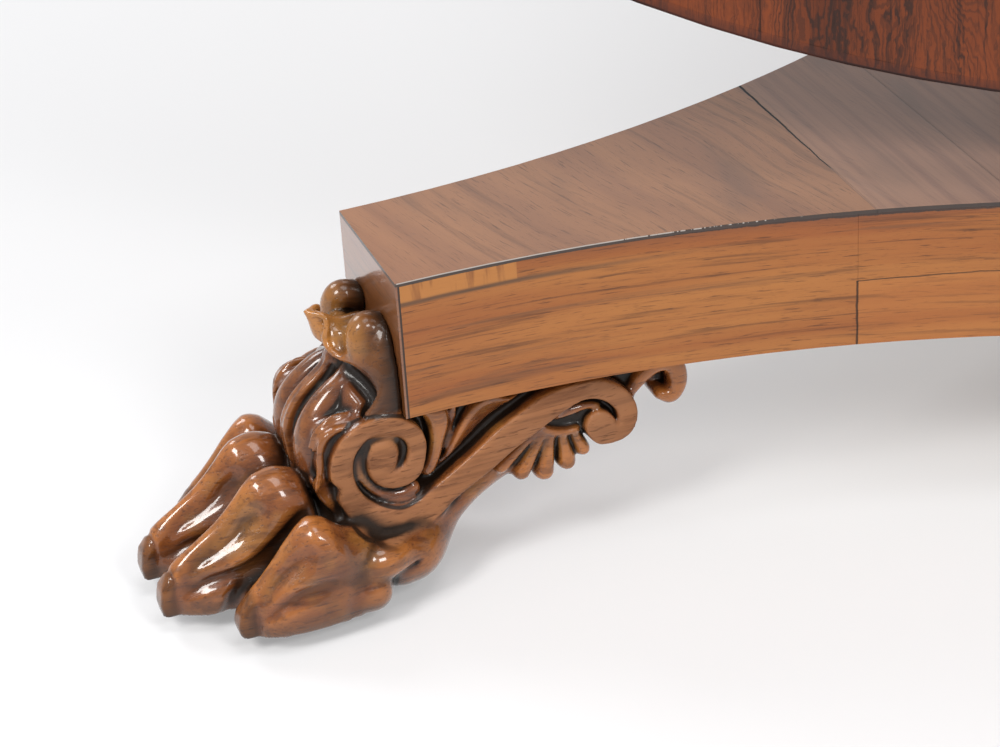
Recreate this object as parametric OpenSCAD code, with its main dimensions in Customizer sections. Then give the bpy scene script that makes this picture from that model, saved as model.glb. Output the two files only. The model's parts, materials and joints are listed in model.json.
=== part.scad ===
// Tilt-top breakfast table: a round veneered top that tips up on a block and column, a three-armed
// platform with hollow sides, and three carved feet with paw, scroll bracket and leaf over sunk castors.
// At rest the top stands tipped up, its show face towards -Y. The origin is on the floor under the column.

/* [Table] */
// Height of the show surface when the top is down
table_h = 735; // [700:1:770]
// Height of the platform's underside above the floor
under_z = 79; // [75:1:90]
// Gap between a moving face and the face beside it
run_gap = 0.3; // [0.2:0.05:0.6]
// Kerf between neighbouring lengths of veneer and lipping
kerf = 0.1; // [0.05:0.05:0.4]

/* [Platform] */
// Column axis to the end of an arm
arm_reach = 363; // [340:1:390]
// Width of an arm at its end
arm_w = 65; // [60:1:72]
// Column axis to the middle of a hollow side
side_mid = 129; // [118:1:140]
// Thickness of the platform with its top veneer
platform_t = 59; // [50:1:66]
// Thickness of the sawn veneer
veneer_t = 1.6; // [1:0.1:2.5]
// Column axis to the joint between centre block and arm
arm_joint = 178; // [165:1:200]
// Column axis to the joint between centre and inner top veneer
inner_joint = 126; // [105:1:140]
// Column axis to the upright joint of the side veneer, measured along the arm
side_joint = 185; // [170:1:220]
// Radius of the dowels of the arm joints
dowel_r = 6; // [4:0.5:8]
// Length of a dowel
dowel_len = 76; // [50:1:90]
// Distance between the two dowels of a joint
dowel_pitch = 60; // [40:1:70]

/* [Column] */
// Radius of the turned base ring
base_ring_r = 88; // [80:1:92]
// Height of the base ring
base_ring_h = 26; // [20:1:32]
// Radius of the neck above the base ring
foot_neck_r = 46; // [36:1:54]
// Largest radius of the leaf bulb
bulb_r = 72; // [62:1:80]
// Smallest radius of the shaft
shaft_r = 37; // [33:1:44]
// Radius of the shaft at its upper collar
collar_r = 58; // [48:1:64]
// Radius of the tenons
tenon_r = 30; // [22:1:32]
// Radius of the cap under the block
cap_r = 86; // [78:1:92]
// Height of the cap
cap_h = 28; // [22:1:34]
// Thickness of the wedge at its wide end
wedge_t = 5; // [3:0.5:7]
// Length of the wedge
wedge_len = 34; // [24:1:40]

/* [Block and pivot] */
// Width of the block between the bearers
block_w = 200; // [190:1:230]
// Length of the block behind the pivot axis
block_back = 180; // [160:1:200]
// Thickness of the block
block_t = 45; // [40:1:50]
// Depth of the pivot axis under the board
pivot_drop = 24; // [20:1:30]
// Pivot axis to the column axis
pivot_y = 80.5; // [76:0.5:84]
// Least gap between the edge of the tipped top and the platform
tilt_clear = 25; // [15:1:36]
// Radius of the pivot pins
pin_r = 8; // [6:0.5:10]
// Depth of a pin in the block
pin_depth = 42; // [30:1:60]
// Radius of a pin's head
pin_head_r = 12; // [11:0.5:14]
// Thickness of a pin's head
pin_head_t = 4; // [3:0.5:6]
// Radial clearance of shafts that turn
shaft_gap = 0.05; // [0.02:0.01:0.1]

/* [Top] */
// Diameter of the top
top_d = 1190; // [1150:5:1230]
// Thickness of the planks
plank_t = 20.4; // [18:0.2:24]
// Number of planks
planks = 4; // [4:1:4]
// Width of the middle veneer leaf
leaf_w = 337; // [300:1:380]
// Thickness of the rim lipping
rim_w = 5; // [4:0.5:8]
// Radius that rounds the show edge
rim_round = 1.4; // [0.8:0.1:3]
// Rim to the outer face of the frieze
frieze_inset = 12; // [8:1:20]
// Thickness of the frieze
frieze_w = 20; // [15:1:25]
// Depth of the frieze under the planks
frieze_h = 34; // [26:1:34]
// Radius of the bead under the frieze
bead_r = 3; // [2:0.5:4]
// Width of a bearer
bearer_w = 28; // [24:1:36]
// Gap between bearer and block
bearer_gap = 1; // [0.5:0.5:3]
// Depth of a bearer
bearer_h = 45; // [40:1:50]
// Length of a bearer
bearer_len = 920; // [860:5:960]
// Length of the sloping ends of a bearer
bearer_slope = 70; // [40:5:100]
// Radius of the bearer screws
screw_r = 2.5; // [2:0.25:3]
// Radius of the screw heads
screw_head_r = 5; // [4:0.5:6]
// How far a bearer screw reaches into the planks
screw_bite = 14; // [10:1:16]
// Bearer's end to its last screw, clear of the slope
screw_inset = 76; // [60:1:110]
// Pivot axis to the nearest bearer screw
pin_to_screw = 48; // [30:1:70]

/* [Catches] */
// Distance between the two catches
catch_pitch = 110; // [90:1:140]
// Width of a catch case
catch_w = 34; // [28:1:40]
// Length of a catch case
catch_len = 60; // [50:1:70]
// Height of a catch case
catch_h = 18; // [16:1:20]
// Radius of the bolts
bolt_r = 5; // [4:0.5:6]
// Travel of the bolts
bolt_travel = 12; // [8:1:14]
// Gap between block and catch case
catch_gap = 3; // [3:0.5:5]
// Thickness of the keeper plates
keeper_t = 2; // [1.5:0.5:3]
// Radius of the small brass screws
small_screw_r = 1.6; // [1.2:0.1:2]
// How far a catch screw reaches into the planks
small_bite = 10; // [8:1:14]
// Radius of the bolt knobs
knob_r = 8; // [6:0.5:8.5]
// Length of the bolt knobs
knob_len = 10; // [8:1:14]
// Clearance of the bolt in the keeper
keeper_gap = 0.6; // [0.3:0.1:1]
// Metal of the keeper below the bolt's hole
keeper_margin = 4; // [3:0.5:6]
// Depth of the keeper's screws and bolt hole in the block
keeper_depth = 16; // [14:1:24]

/* [Feet] */
// Width across the flat faces of the scroll bracket
bracket_w = 64.8; // [60:0.2:65]
// Height of the paw's sole above the floor
sole_z = 8; // [6:0.5:10]
// Arm end to the eye of the big volute
volute_u = 8.5; // [4:0.5:12]
// Underside of the platform to the eye of the big volute
volute_drop = 22; // [18:0.5:26]
// Radius of the big volute
volute_r = 26.5; // [24:0.5:28]
// Width of the scroll ribbon
ribbon_w = 19; // [15:0.5:22]
// Radius of the small volute
small_volute_r = 15; // [12:0.5:17]
// Arm end to the eye of the small volute
small_volute_u = 80.5; // [74:0.5:86]
// Radius of the curl at the bracket's far end
end_curl_r = 10.5; // [8:0.5:12]
// Arm end to the curl at the bracket's far end
end_curl_u = 108.5; // [100:0.5:112]
// Number of flutes in the palmette
palmette_n = 5; // [5:1:5]
// Distance between neighbouring toes
toe_pitch = 28; // [26:0.5:30]
// Arm end to the claw tips of the inner toes
claw_u = 101; // [92:1:102]
// How far the outer toes stay behind the inner ones
toe_step = 22; // [14:1:26]
// Height of the inner knuckles
knuckle_z = 60; // [54:1:62]
// Radius of a knuckle
knuckle_r = 14; // [12:0.5:15]
// Height of the leaf above the floor
leaf_top_z = 128; // [118:1:132]
// Half width of the leaf
leaf_half_w = 29; // [24:1:31]
// Radius of the foot screws
foot_screw_r = 3; // [2.5:0.25:4]
// Length of the foot screws
foot_screw_len = 46; // [36:1:60]

/* [Castors] */
// Arm end to the castor's upright axis
castor_u = 28; // [24:1:32]
// Radius of a castor wheel
wheel_r = 11; // [9:0.5:11]
// Width of a castor wheel
wheel_w = 10; // [8:0.5:11]
// Upright axis to the axle
trail = 8; // [5:0.5:8]
// Radius of the axle
axle_r = 2.5; // [2:0.25:3]
// Thickness of a cheek of the horn
cheek_t = 3; // [2:0.25:3.5]
// Radius of the horn's stem
stem_r = 5; // [4:0.5:6]
// Length of the horn's stem in its socket
stem_len = 26; // [20:1:28]
// Radius of the socket plate
plate_r = 20; // [18:0.5:20.5]
// Thickness of the socket plate
plate_t = 3; // [2:0.5:4]
// Radius of the recess in the sole
recess_r = 21; // [20.6:0.2:22]
// Wall of the socket tube
socket_wall = 2.5; // [2:0.25:3.5]
// Room around the socket tube in the foot
socket_fit = 0.2; // [0.1:0.05:0.4]

/* [Hidden] */
$fn = 96;

rosewood = [0.36, 0.17, 0.08];
rosewood_dark = [0.26, 0.10, 0.06];
rosewood_side = [0.55, 0.30, 0.14];
pine = [0.72, 0.56, 0.36];
mahogany = [0.42, 0.20, 0.11];
brass = [0.72, 0.56, 0.27];
steel = [0.45, 0.44, 0.42];

eps = 0.01;
top_z = under_z + platform_t;
core_top = top_z - veneer_t;

// Circle of a hollow side: it passes through the arm corners and the middle of the side
corner_along = arm_reach * cos(60) + arm_w / 2 * sin(60);
corner_across = arm_reach * sin(60) - arm_w / 2 * cos(60);
side_c = (corner_along ^ 2 + corner_across ^ 2 - side_mid ^ 2) / (2 * (corner_along - side_mid));
side_r = side_c - side_mid;

board_under = table_h - veneer_t - plank_t;
pivot_z = board_under - pivot_drop;
block_round = pivot_drop - run_gap;
block_top = board_under - run_gap;
block_bottom = block_top - block_t;
block_back_y = block_back - pivot_y;
rim_r = top_d / 2;
// A wide or low top takes its pivot further out, so that its edge still passes over the platform
axis_y = max(pivot_y, rim_r - (pivot_z - top_z - tilt_clear));

base_ring_top = top_z + base_ring_h;
cap_bottom = block_bottom - cap_h;
shaft_h = cap_bottom - base_ring_top;

plank_r = rim_r - rim_w;
frieze_r = rim_r - frieze_inset - veneer_t;
frieze_under = board_under - frieze_h;
bearer_x = block_w / 2 + bearer_gap;
bearer_under = board_under - bearer_h;

catch_y = block_back_y + catch_gap;
bolt_z = board_under - catch_h / 2;
bolt_len = catch_len + bolt_travel + 2;

plate_z = sole_z + 19;
horn_top = plate_z - run_gap;
socket_top = plate_z + stem_len + 4;

function arm_angle(i) = 90 + 120 * i;
module on_arm(i) rotate([0, 0, arm_angle(i)]) children();
module on_foot(i) on_arm(i) translate([arm_reach, 0, 0]) children();
module on_castor(i) on_arm(i) translate([arm_reach + castor_u, 0, 0]) children();

// Turns a piece of the top from its place in use to its place when tipped up
module tipped() translate([0, -axis_y, pivot_z]) rotate([90, 0, 0])
    translate([0, axis_y, -pivot_z]) children();

module across(r, length) rotate([0, 90, 0]) cylinder(r = r, h = length);
module along(r, length) rotate([-90, 0, 0]) cylinder(r = r, h = length);

// Platform

module platform_outline(end_inset = 0, side_inset = 0) {
    spread = arm_w / 2 + 12;
    reach = arm_reach - end_inset;
    difference() {
        polygon([for (i = [1:3], s = [-1, 1])
            [reach * cos(arm_angle(i)) - s * spread * sin(arm_angle(i)),
             reach * sin(arm_angle(i)) + s * spread * cos(arm_angle(i))]]);
        for (i = [1:3]) rotate(arm_angle(i) + 60) translate([side_c, 0])
            circle(r = side_r + side_inset, $fn = 360);
    }
}

module beyond(u, i) rotate(arm_angle(i)) translate([u, -arm_reach]) square([arm_reach, 2 * arm_reach]);

module arm_dowels(i, r) on_arm(i) for (s = [-1, 1])
    translate([arm_joint - dowel_len / 2, s * dowel_pitch / 2, under_z + platform_t / 2])
        across(r, dowel_len);

// Screws from the bracket up into the arm; a deep head hole runs down to z0
module foot_screw(z0 = undef, gap = 0) for (k = [0, 1]) translate([screw_u[k], 0, screw_z[k]]) {
    cylinder(r = foot_screw_r + gap, h = foot_screw_len, $fn = 24);
    drop = is_undef(z0) ? 0 : screw_z[k] - z0;
    translate([0, 0, -drop]) cylinder(r = foot_screw_r * 2 + gap, h = drop + 4, $fn = 24);
}
screw_u = [-66, -34];
screw_z = [under_z - 11, under_z - 17];

module platform_arm(i) color(pine) difference() {
    translate([0, 0, under_z]) linear_extrude(core_top - under_z) intersection() {
        platform_outline(veneer_t, veneer_t);
        beyond(arm_joint, i);
    }
    arm_dowels(i, dowel_r);
    on_foot(i) foot_screw();
}

module platform_centre() color(pine) difference() {
    translate([0, 0, under_z]) linear_extrude(core_top - under_z) difference() {
        platform_outline(veneer_t, veneer_t);
        for (i = [1:3]) beyond(arm_joint, i);
    }
    for (i = [1:3]) arm_dowels(i, dowel_r);
    translate([0, 0, under_z - 1]) cylinder(r = tenon_r, h = platform_t + 2);
}

module platform_dowels() color(pine) for (i = [1:3]) arm_dowels(i, dowel_r);

module top_veneer_sheet() translate([0, 0, core_top]) linear_extrude(veneer_t) children();

module centre_top_veneer() color(rosewood) top_veneer_sheet() difference() {
    platform_outline();
    for (i = [1:3]) beyond(inner_joint, i);
    circle(r = tenon_r);
}

module inner_top_veneers() color(rosewood) top_veneer_sheet() for (i = [1:3]) intersection() {
    platform_outline();
    difference() { beyond(inner_joint + kerf, i); beyond(arm_joint, i); }
}

module arm_top_veneers() color(rosewood) top_veneer_sheet() for (i = [1:3]) intersection() {
    platform_outline();
    beyond(arm_joint + kerf, i);
}

module side_veneer(i) {
    next = i % 3 + 1;
    color(rosewood_side) translate([0, 0, under_z]) linear_extrude(core_top - under_z) difference() {
        platform_outline(veneer_t, 0);
        platform_outline(0, veneer_t);
        for (k = [1:2]) rotate(arm_angle(i) + 60 + 120 * k) translate([side_c, 0])
            circle(r = side_r + 3 * veneer_t, $fn = 360);
        for (k = [i, next]) difference() { beyond(side_joint, k); beyond(side_joint + kerf, k); }
    }
}

module end_veneers() color(rosewood_side) for (i = [1:3]) on_arm(i) intersection() {
    translate([arm_reach - veneer_t, -arm_w, under_z]) cube([veneer_t, 2 * arm_w, core_top - under_z]);
    translate([0, 0, under_z - 1]) linear_extrude(platform_t) rotate(-arm_angle(i)) platform_outline();
}

// Feet, drawn in the arm's own frame: X runs out from the arm's end, Y across it

eye_u = volute_u;
eye_z = under_z - volute_drop;
toe_r = toe_pitch / 2;

// Centre line of the ribbon from under the big volute to the small one
ribbon_ends = [[eye_u - 4, eye_z - volute_r + ribbon_w / 2], [-34, eye_z - 17],
               [-46, under_z - 12], [-small_volute_u + 4, under_z - ribbon_w / 2 + 1]];
function cubic(p, t) = p[0] * (1 - t) ^ 3 + 3 * p[1] * t * (1 - t) ^ 2 + 3 * p[2] * t ^ 2 * (1 - t)
    + p[3] * t ^ 3;
function cubic_dir(p, t) = let (d = cubic(p, t + 0.01) - cubic(p, t - 0.01)) d / norm(d);
function side_of(p, t, w) = let (d = cubic_dir(p, t)) cubic(p, t) + [-d[1], d[0]] * w;

module ribbon_shape(w) polygon([
    each [for (t = [0:0.1:1]) side_of(ribbon_ends, t, w / 2)],
    each [for (t = [1:-0.1:0]) side_of(ribbon_ends, t, -w / 2)]]);

// Spiral band that stands proud of the bracket's face; it starts outside and winds in to the eye
module spiral_band(r0, r1, turns, w0, w1, start, hand) {
    steps = round(turns * 16);
    function at(k, s) = let (f = k / steps, a = start + hand * f * turns * 360,
        r = r0 + (r1 - r0) * f, w = w0 + (w1 - w0) * f) (r + s * w / 2) * [cos(a), sin(a)];
    polygon([each [for (k = [0:steps]) at(k, 1)], each [for (k = [steps:-1:0]) at(k, -1)]]);
}

module palmette() for (k = [0:palmette_n - 1]) {
    a = 200 + k * 140 / (palmette_n - 1);
    hull() {
        translate([-62, under_z - 20] + 4 * [cos(a), sin(a)]) circle(r = 3, $fn = 12);
        translate([-58, under_z - 19] + 19 * [cos(a), sin(a)]) circle(r = 4.6, $fn = 16);
    }
}

small_z = under_z - small_volute_r - 2;
curl_z = under_z - end_curl_r - 3;

// Keeps a flat shape under the arm
module under_arm() intersection() {
    children();
    union() {
        translate([-arm_reach, 0]) square([arm_reach, under_z]);
        translate([-1, 0]) square([arm_reach, 2 * under_z]);
    }
}

module bracket_side() {
    translate([eye_u, eye_z]) circle(r = volute_r, $fn = 48);
    ribbon_shape(ribbon_w);
    translate([-small_volute_u, small_z]) circle(r = small_volute_r, $fn = 32);
    translate([-end_curl_u, curl_z]) circle(r = end_curl_r, $fn = 24);
    polygon([[eye_u, eye_z], [eye_u - 14, under_z], [-end_curl_u, under_z], [-end_curl_u, curl_z],
             [-small_volute_u, small_z], [-46, under_z - 16], [-20, eye_z - 4]]);
}

module bracket() {
    flank = bracket_w / 2;
    rotate([90, 0, 0]) translate([0, 0, -flank + 2]) linear_extrude(bracket_w - 4) under_arm() bracket_side();
    for (s = [0, 1]) mirror([0, s, 0]) rotate([90, 0, 0]) translate([0, 0, -flank]) linear_extrude(3)
        under_arm() {
            ribbon_shape(ribbon_w - 2);
            translate([eye_u, eye_z]) spiral_band(volute_r - 5.5, 3, 1.6, 9, 4, 250, -1);
            translate([-small_volute_u, small_z]) spiral_band(small_volute_r - 4, 3, 1.2, 6, 3, 60, 1);
            translate([-end_curl_u, curl_z]) circle(r = end_curl_r - 1, $fn = 20);
        }
    rotate([90, 0, 0]) translate([0, 0, -flank + 5]) linear_extrude(bracket_w - 10) palmette();
}

module ball(u, v, z, r, sides = 14) translate([u, v, z]) sphere(r = r, $fn = sides);

// One toe: back of the paw to the knuckle, knuckle to the claw, claw, and the pad under it
module toe(v, back) {
    tip = claw_u - back;
    knuckle_u = tip - 48;
    top = knuckle_z - back * 0.42;
    hull() {
        ball(knuckle_u, v, top - knuckle_r, knuckle_r);
        ball(knuckle_u - 26, v * 0.7, top - knuckle_r - 2, knuckle_r);
    }
    hull() { ball(knuckle_u, v, top - knuckle_r, knuckle_r); ball(tip - 14, v, sole_z + 17, 8); }
    hull() { ball(tip - 14, v, sole_z + 16, 8); ball(tip - 2.5, v, sole_z + 5, 2.5, 10); }
    hull() {
        ball(tip - 22, v, sole_z + toe_r - 1, toe_r - 1);
        ball(tip - 46, v * 0.95, sole_z + toe_r, toe_r);
    }
}

module paw() {
    for (s = [-1, 1]) {
        toe(s * toe_pitch / 2, 0);
        toe(s * toe_pitch * 1.5, toe_step);
        hull() {
            ball(34, s * 30, sole_z + 14, 14);
            ball(10, s * 24, sole_z + 10, 10);
            ball(8, s * 18, 40, 16);
        }
    }
    hull() for (s = [-1, 1]) { ball(2, s * 14, 24, 17); ball(36, s * 16, 26, 18); ball(10, s * 14, eye_z, 18); }
    hull() for (s = [-1, 1]) { ball(4, s * 17, 22, 15); ball(-22, s * 18, eye_z - 10, 14); }
    hull() for (s = [-1, 1]) { ball(-22, s * 18, eye_z - 10, 14); ball(-52, s * 18, under_z - 14, 12); }
}

// Leaf that laps up the arm's end: a swelling body, three lobes and the curl at the tip
module leaf() {
    for (s = [-1, 0, 1]) hull() {
        ball(30 - abs(s) * 5, s * 15, 62, 13);
        ball(25 - abs(s) * 5, s * 14, 88 - abs(s) * 4, 9);
        ball(13 - abs(s) * 2, s * 9, 106, 7);
    }
    for (s = [-1, 1]) hull() {
        ball(13.5, s * (leaf_half_w - 13), 78, 13);
        ball(10.5, s * (leaf_half_w - 10), leaf_top_z - 24, 9.5);
        ball(6, s * (leaf_half_w - 14), leaf_top_z - 6, 5);
    }
    hull() for (s = [-1, 1]) { ball(8.5, s * 10, leaf_top_z - 8, 8); ball(16, s * 5, leaf_top_z - 9, 8); }
    hull() { ball(17, 0, leaf_top_z - 8, 7); ball(23, 0, leaf_top_z - 13, 3.5, 10); }
}

module foot() color(rosewood) difference() {
    intersection() {
        union() { bracket(); paw(); leaf(); }
        union() {
            translate([-arm_reach, -2 * arm_w, sole_z]) cube([2 * arm_reach, 4 * arm_w, under_z - sole_z]);
            translate([0, -2 * arm_w, sole_z]) cube([arm_reach, 4 * arm_w, 2 * leaf_top_z]);
        }
    }
    translate([castor_u, 0, sole_z - 1]) cylinder(r = recess_r, h = plate_z + plate_t - sole_z + 1, $fn = 48);
    translate([castor_u, 0, sole_z])
        cylinder(r = stem_r + socket_wall + socket_fit, h = socket_top - sole_z + socket_fit, $fn = 32);
    foot_screw(sole_z - 1, 0.1);
    on_plate_screws() translate([0, 0, plate_z + plate_t - 1]) cylinder(r = 1.6, h = 13, $fn = 16);
}

module foot_screws() color(steel) for (i = [1:3]) on_foot(i) foot_screw();

// Castors

module on_plate_screws() translate([castor_u, 0, 0]) for (a = [60, 180, 300])
    rotate([0, 0, a]) translate([plate_r - 5, 0, 0]) children();

module castor_sockets() color(brass) for (i = [1:3]) {
    on_castor(i) difference() {
        union() {
            translate([0, 0, plate_z]) cylinder(r = plate_r, h = plate_t);
            translate([0, 0, plate_z]) cylinder(r = stem_r + socket_wall, h = socket_top - plate_z);
        }
        translate([0, 0, plate_z - 1]) cylinder(r = stem_r + shaft_gap, h = stem_len + 2);
        translate([-castor_u, 0, plate_z - 1]) on_plate_screws() cylinder(r = 1.6, h = plate_t + 2);
    }
}

module castor_plate_screws() color(brass) for (i = [1:3]) on_foot(i) on_plate_screws() {
    translate([0, 0, plate_z]) cylinder(r = 1.5, h = plate_t + 11, $fn = 24);
}

module castor_horn(i) color(brass) on_castor(i) difference() {
    union() {
        cylinder_from(horn_top - 3, horn_top, stem_r + 6);
        cylinder_from(horn_top - 1, horn_top + stem_len, stem_r);
        for (s = [-1, 1]) translate([0, s * (wheel_w / 2 + 0.5 + cheek_t / 2) - cheek_t / 2, 0]) {
            translate([trail, 0, wheel_r]) along(axle_r + 2.5, cheek_t);
            translate([0, 0, wheel_r]) cube([trail + axle_r + 2.5, cheek_t, horn_top - 3 - wheel_r + eps]);
        }
    }
    translate([trail, -wheel_w, wheel_r]) along(axle_r, 2 * wheel_w);
}
module cylinder_from(z0, z1, r) translate([0, 0, z0]) cylinder(r = r, h = z1 - z0);

axle_len = wheel_w + 1 + 2 * cheek_t;
module castor_axle(i) color(steel) on_castor(i)
    translate([trail, -axle_len / 2, wheel_r]) along(axle_r, axle_len);

module castor_wheel(i) color(brass) on_castor(i) translate([trail, 0, wheel_r]) rotate([90, 0, 0])
    rotate_extrude() polygon([[axle_r + shaft_gap, -wheel_w / 2], [wheel_r - 1, -wheel_w / 2],
        [wheel_r, -wheel_w / 2 + 1], [wheel_r, wheel_w / 2 - 1], [wheel_r - 1, wheel_w / 2],
        [axle_r + shaft_gap, wheel_w / 2]]);

// Column

module turned(profile, bore) rotate_extrude() polygon([[bore, profile[0][1]], each profile,
    [bore, profile[len(profile) - 1][1]]]);

// Points of a bead or hollow between two radii over a height
function bead(r, z, h, out, n = 8) = [for (k = [0:n])
    let (a = 180 * k / n) [r + out * sin(a), z + h * k / n]];
function sweep_r(r0, r1, z0, z1, n = 10) = [for (k = [0:n]) let (f = k / n)
    [r0 + (r1 - r0) * (1 - cos(180 * f)) / 2, z0 + (z1 - z0) * f]];

module column_base_ring() color(rosewood) turned(concat(
    [[base_ring_r - 2, top_z], [base_ring_r, top_z + 2]],
    bead(base_ring_r - 4, top_z + 5, base_ring_h * 0.5, 4),
    sweep_r(base_ring_r - 8, foot_neck_r + 8, base_ring_top - base_ring_h * 0.28, base_ring_top - 2),
    [[foot_neck_r + 8, base_ring_top]]), tenon_r);

bulb_z = base_ring_top + shaft_h * 0.27;
module column_shaft() color(rosewood) difference() {
    union() {
        turned(concat(
            [[foot_neck_r + 6, base_ring_top]],
            bead(foot_neck_r + 4, base_ring_top + 2, 14, 6),
            sweep_r(foot_neck_r, bulb_r, base_ring_top + 20, bulb_z, 12),
            sweep_r(bulb_r, foot_neck_r + 2, bulb_z, base_ring_top + shaft_h * 0.45, 12),
            bead(foot_neck_r, base_ring_top + shaft_h * 0.46, 12, 7),
            sweep_r(shaft_r + 4, shaft_r, base_ring_top + shaft_h * 0.5, base_ring_top + shaft_h * 0.72),
            sweep_r(shaft_r, shaft_r + 7, base_ring_top + shaft_h * 0.73, cap_bottom - 46),
            bead(shaft_r + 8, cap_bottom - 44, 12, 6),
            sweep_r(shaft_r + 6, collar_r, cap_bottom - 30, cap_bottom - 6, 8),
            [[collar_r, cap_bottom]]), 0);
        cylinder_from(under_z + 2, base_ring_top + 1, tenon_r);
        cylinder_from(cap_bottom - 1, block_top - 2, tenon_r);
    }
    wedge_shape();
}

module wedge_shape() translate([-tenon_r - 1, 0, under_z + 2]) rotate([90, 0, 90])
    linear_extrude(2 * tenon_r + 2) polygon([[-wedge_t / 2, -1], [wedge_t / 2, -1],
        [wedge_t / 8, wedge_len], [-wedge_t / 8, wedge_len]]);

module column_wedge() color(mahogany) intersection() {
    wedge_shape();
    cylinder_from(under_z + 2, under_z + platform_t, tenon_r);
}

module column_cap() color(rosewood) turned(concat(
    [[collar_r + 2, cap_bottom]],
    bead(collar_r + 3, cap_bottom + 1, 9, 4),
    sweep_r(collar_r + 4, cap_r, cap_bottom + 11, block_bottom - 9, 8),
    [[cap_r, block_bottom - 2], [cap_r - 2, block_bottom]]), tenon_r);

module tilt_block() color(mahogany) difference() {
    union() {
        translate([-block_w / 2, -axis_y, block_bottom]) cube([block_w, axis_y + block_back_y, block_t]);
        translate([-block_w / 2, -axis_y - block_round, block_bottom])
            cube([block_w, block_round + eps, pivot_z - block_bottom]);
        intersection() {
            translate([-block_w / 2, -axis_y, pivot_z]) across(block_round, block_w);
            translate([-block_w / 2, -axis_y - block_round, block_bottom])
                cube([block_w, 2 * block_round, block_t]);
        }
    }
    cylinder_from(block_bottom - 1, block_top + 1, tenon_r);
    for (s = [0, 1]) mirror([s, 0, 0]) {
        translate([block_w / 2 - pin_depth, -axis_y, pivot_z]) across(pin_r, pin_depth + 1);
        bolt_hole();
        keeper_outline(keeper_t + 1);
        keeper_screw();
    }
}

keeper_w = catch_w;
keeper_low = bolt_z - bolt_r - keeper_gap - keeper_margin;
keeper_h = block_top - keeper_low;
keeper_screw_x = keeper_w / 2 - 5;
module bolt_hole() translate([catch_pitch / 2, block_back_y - keeper_depth, bolt_z])
    along(bolt_r + keeper_gap, keeper_depth + 1);
module keeper_outline(t) translate([catch_pitch / 2 - keeper_w / 2, block_back_y - keeper_t, keeper_low])
    cube([keeper_w, t, keeper_h]);
module keeper_screw() for (s = [-1, 1])
    translate([catch_pitch / 2 + s * keeper_screw_x, block_back_y - keeper_depth, bolt_z])
        along(small_screw_r, keeper_depth);

module catch_keepers() color(brass) for (s = [0, 1]) mirror([s, 0, 0]) difference() {
    keeper_outline(keeper_t);
    bolt_hole();
    keeper_screw();
}

module keeper_screws() color(brass) for (s = [0, 1]) mirror([s, 0, 0]) keeper_screw();

module pivot_pins() color(brass) for (s = [0, 1]) mirror([s, 0, 0]) {
    end_x = bearer_x + bearer_w + run_gap;
    translate([block_w / 2 - pin_depth, -axis_y, pivot_z]) across(pin_r, end_x - block_w / 2 + pin_depth + 1);
    translate([end_x, -axis_y, pivot_z]) across(pin_head_r, pin_head_t);
}

// Top, drawn in its place in use and then tipped up

plank_w = 2 * plank_r / planks;

module top_plank(n) color(pine) tipped() difference() {
    intersection() {
        cylinder_from(board_under, board_under + plank_t, plank_r, $fn = 360);
        translate([-rim_r, -plank_r + (n - 1) * plank_w, board_under - 1])
            cube([top_d, plank_w, plank_t + 2]);
    }
    bearer_screw_set();
    catch_screw_set();
}

module top_leaf(x0, x1) intersection() {
    cylinder_from(table_h - veneer_t, table_h, plank_r, $fn = 360);
    translate([x0, -rim_r, table_h - veneer_t - 1]) cube([x1 - x0, top_d, veneer_t + 2]);
}

module top_veneer_centre() color(rosewood_dark) tipped() top_leaf(-leaf_w / 2, leaf_w / 2);
module top_veneer_side() {
    top_leaf(leaf_w / 2, leaf_w * 1.5);
    top_leaf(leaf_w * 1.5 + kerf, rim_r);
}
module top_veneer_right() color(rosewood_dark) tipped() top_veneer_side();
module top_veneer_left() color(rosewood_dark) tipped() mirror([1, 0, 0]) top_veneer_side();

module eight_lengths() difference() {
    children();
    for (a = [0:45:135]) rotate([0, 0, a]) translate([-rim_r - 1, -kerf / 2, frieze_under - 10])
        cube([top_d + 2, kerf, frieze_h + plank_t + 20]);
}

module rim_mouldings() color(rosewood_dark) tipped() eight_lengths() rotate_extrude($fn = 360) {
    difference() {
        translate([plank_r, board_under]) square([rim_w, table_h - board_under]);
        translate([rim_r - rim_round, table_h - rim_round]) square(2 * rim_round);
    }
    intersection() {
        translate([rim_r - rim_round, table_h - rim_round]) circle(r = rim_round, $fn = 24);
        translate([plank_r, board_under]) square([rim_w, table_h - board_under]);
    }
}

module frieze_ring(r0, r1) rotate_extrude($fn = 360) translate([r0, frieze_under])
    square([r1 - r0, frieze_h]);

module frieze_quarter(a) color(pine) tipped() intersection() {
    eight_lengths() frieze_ring(frieze_r - frieze_w, frieze_r);
    rotate([0, 0, a - 45]) translate([kerf / 2, kerf / 2, frieze_under - 1])
        cube([rim_r, rim_r, frieze_h + 2]);
}

module frieze_veneer() color(rosewood_side) tipped() eight_lengths()
    frieze_ring(frieze_r, frieze_r + veneer_t);

module frieze_beads() color(rosewood_dark) tipped() eight_lengths() rotate_extrude($fn = 360)
    difference() {
        translate([frieze_r + veneer_t, frieze_under + bead_r]) circle(r = bead_r, $fn = 24);
        translate([frieze_r + veneer_t - 2 * bead_r, frieze_under - 1]) square([2 * bead_r, 3 * bead_r]);
    }

end_screw_y = bearer_len / 2 - screw_inset;
bearer_screw_y = [-end_screw_y, -axis_y - pin_to_screw, end_screw_y / 3, end_screw_y];
module bearer_screw_set() for (s = [-1, 1], y = bearer_screw_y)
    translate([s * (bearer_x + bearer_w / 2), y, bearer_under]) {
        cylinder(r = screw_r, h = bearer_h + screw_bite, $fn = 32);
        cylinder(r = screw_head_r, h = 3, $fn = 32);
    }

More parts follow.
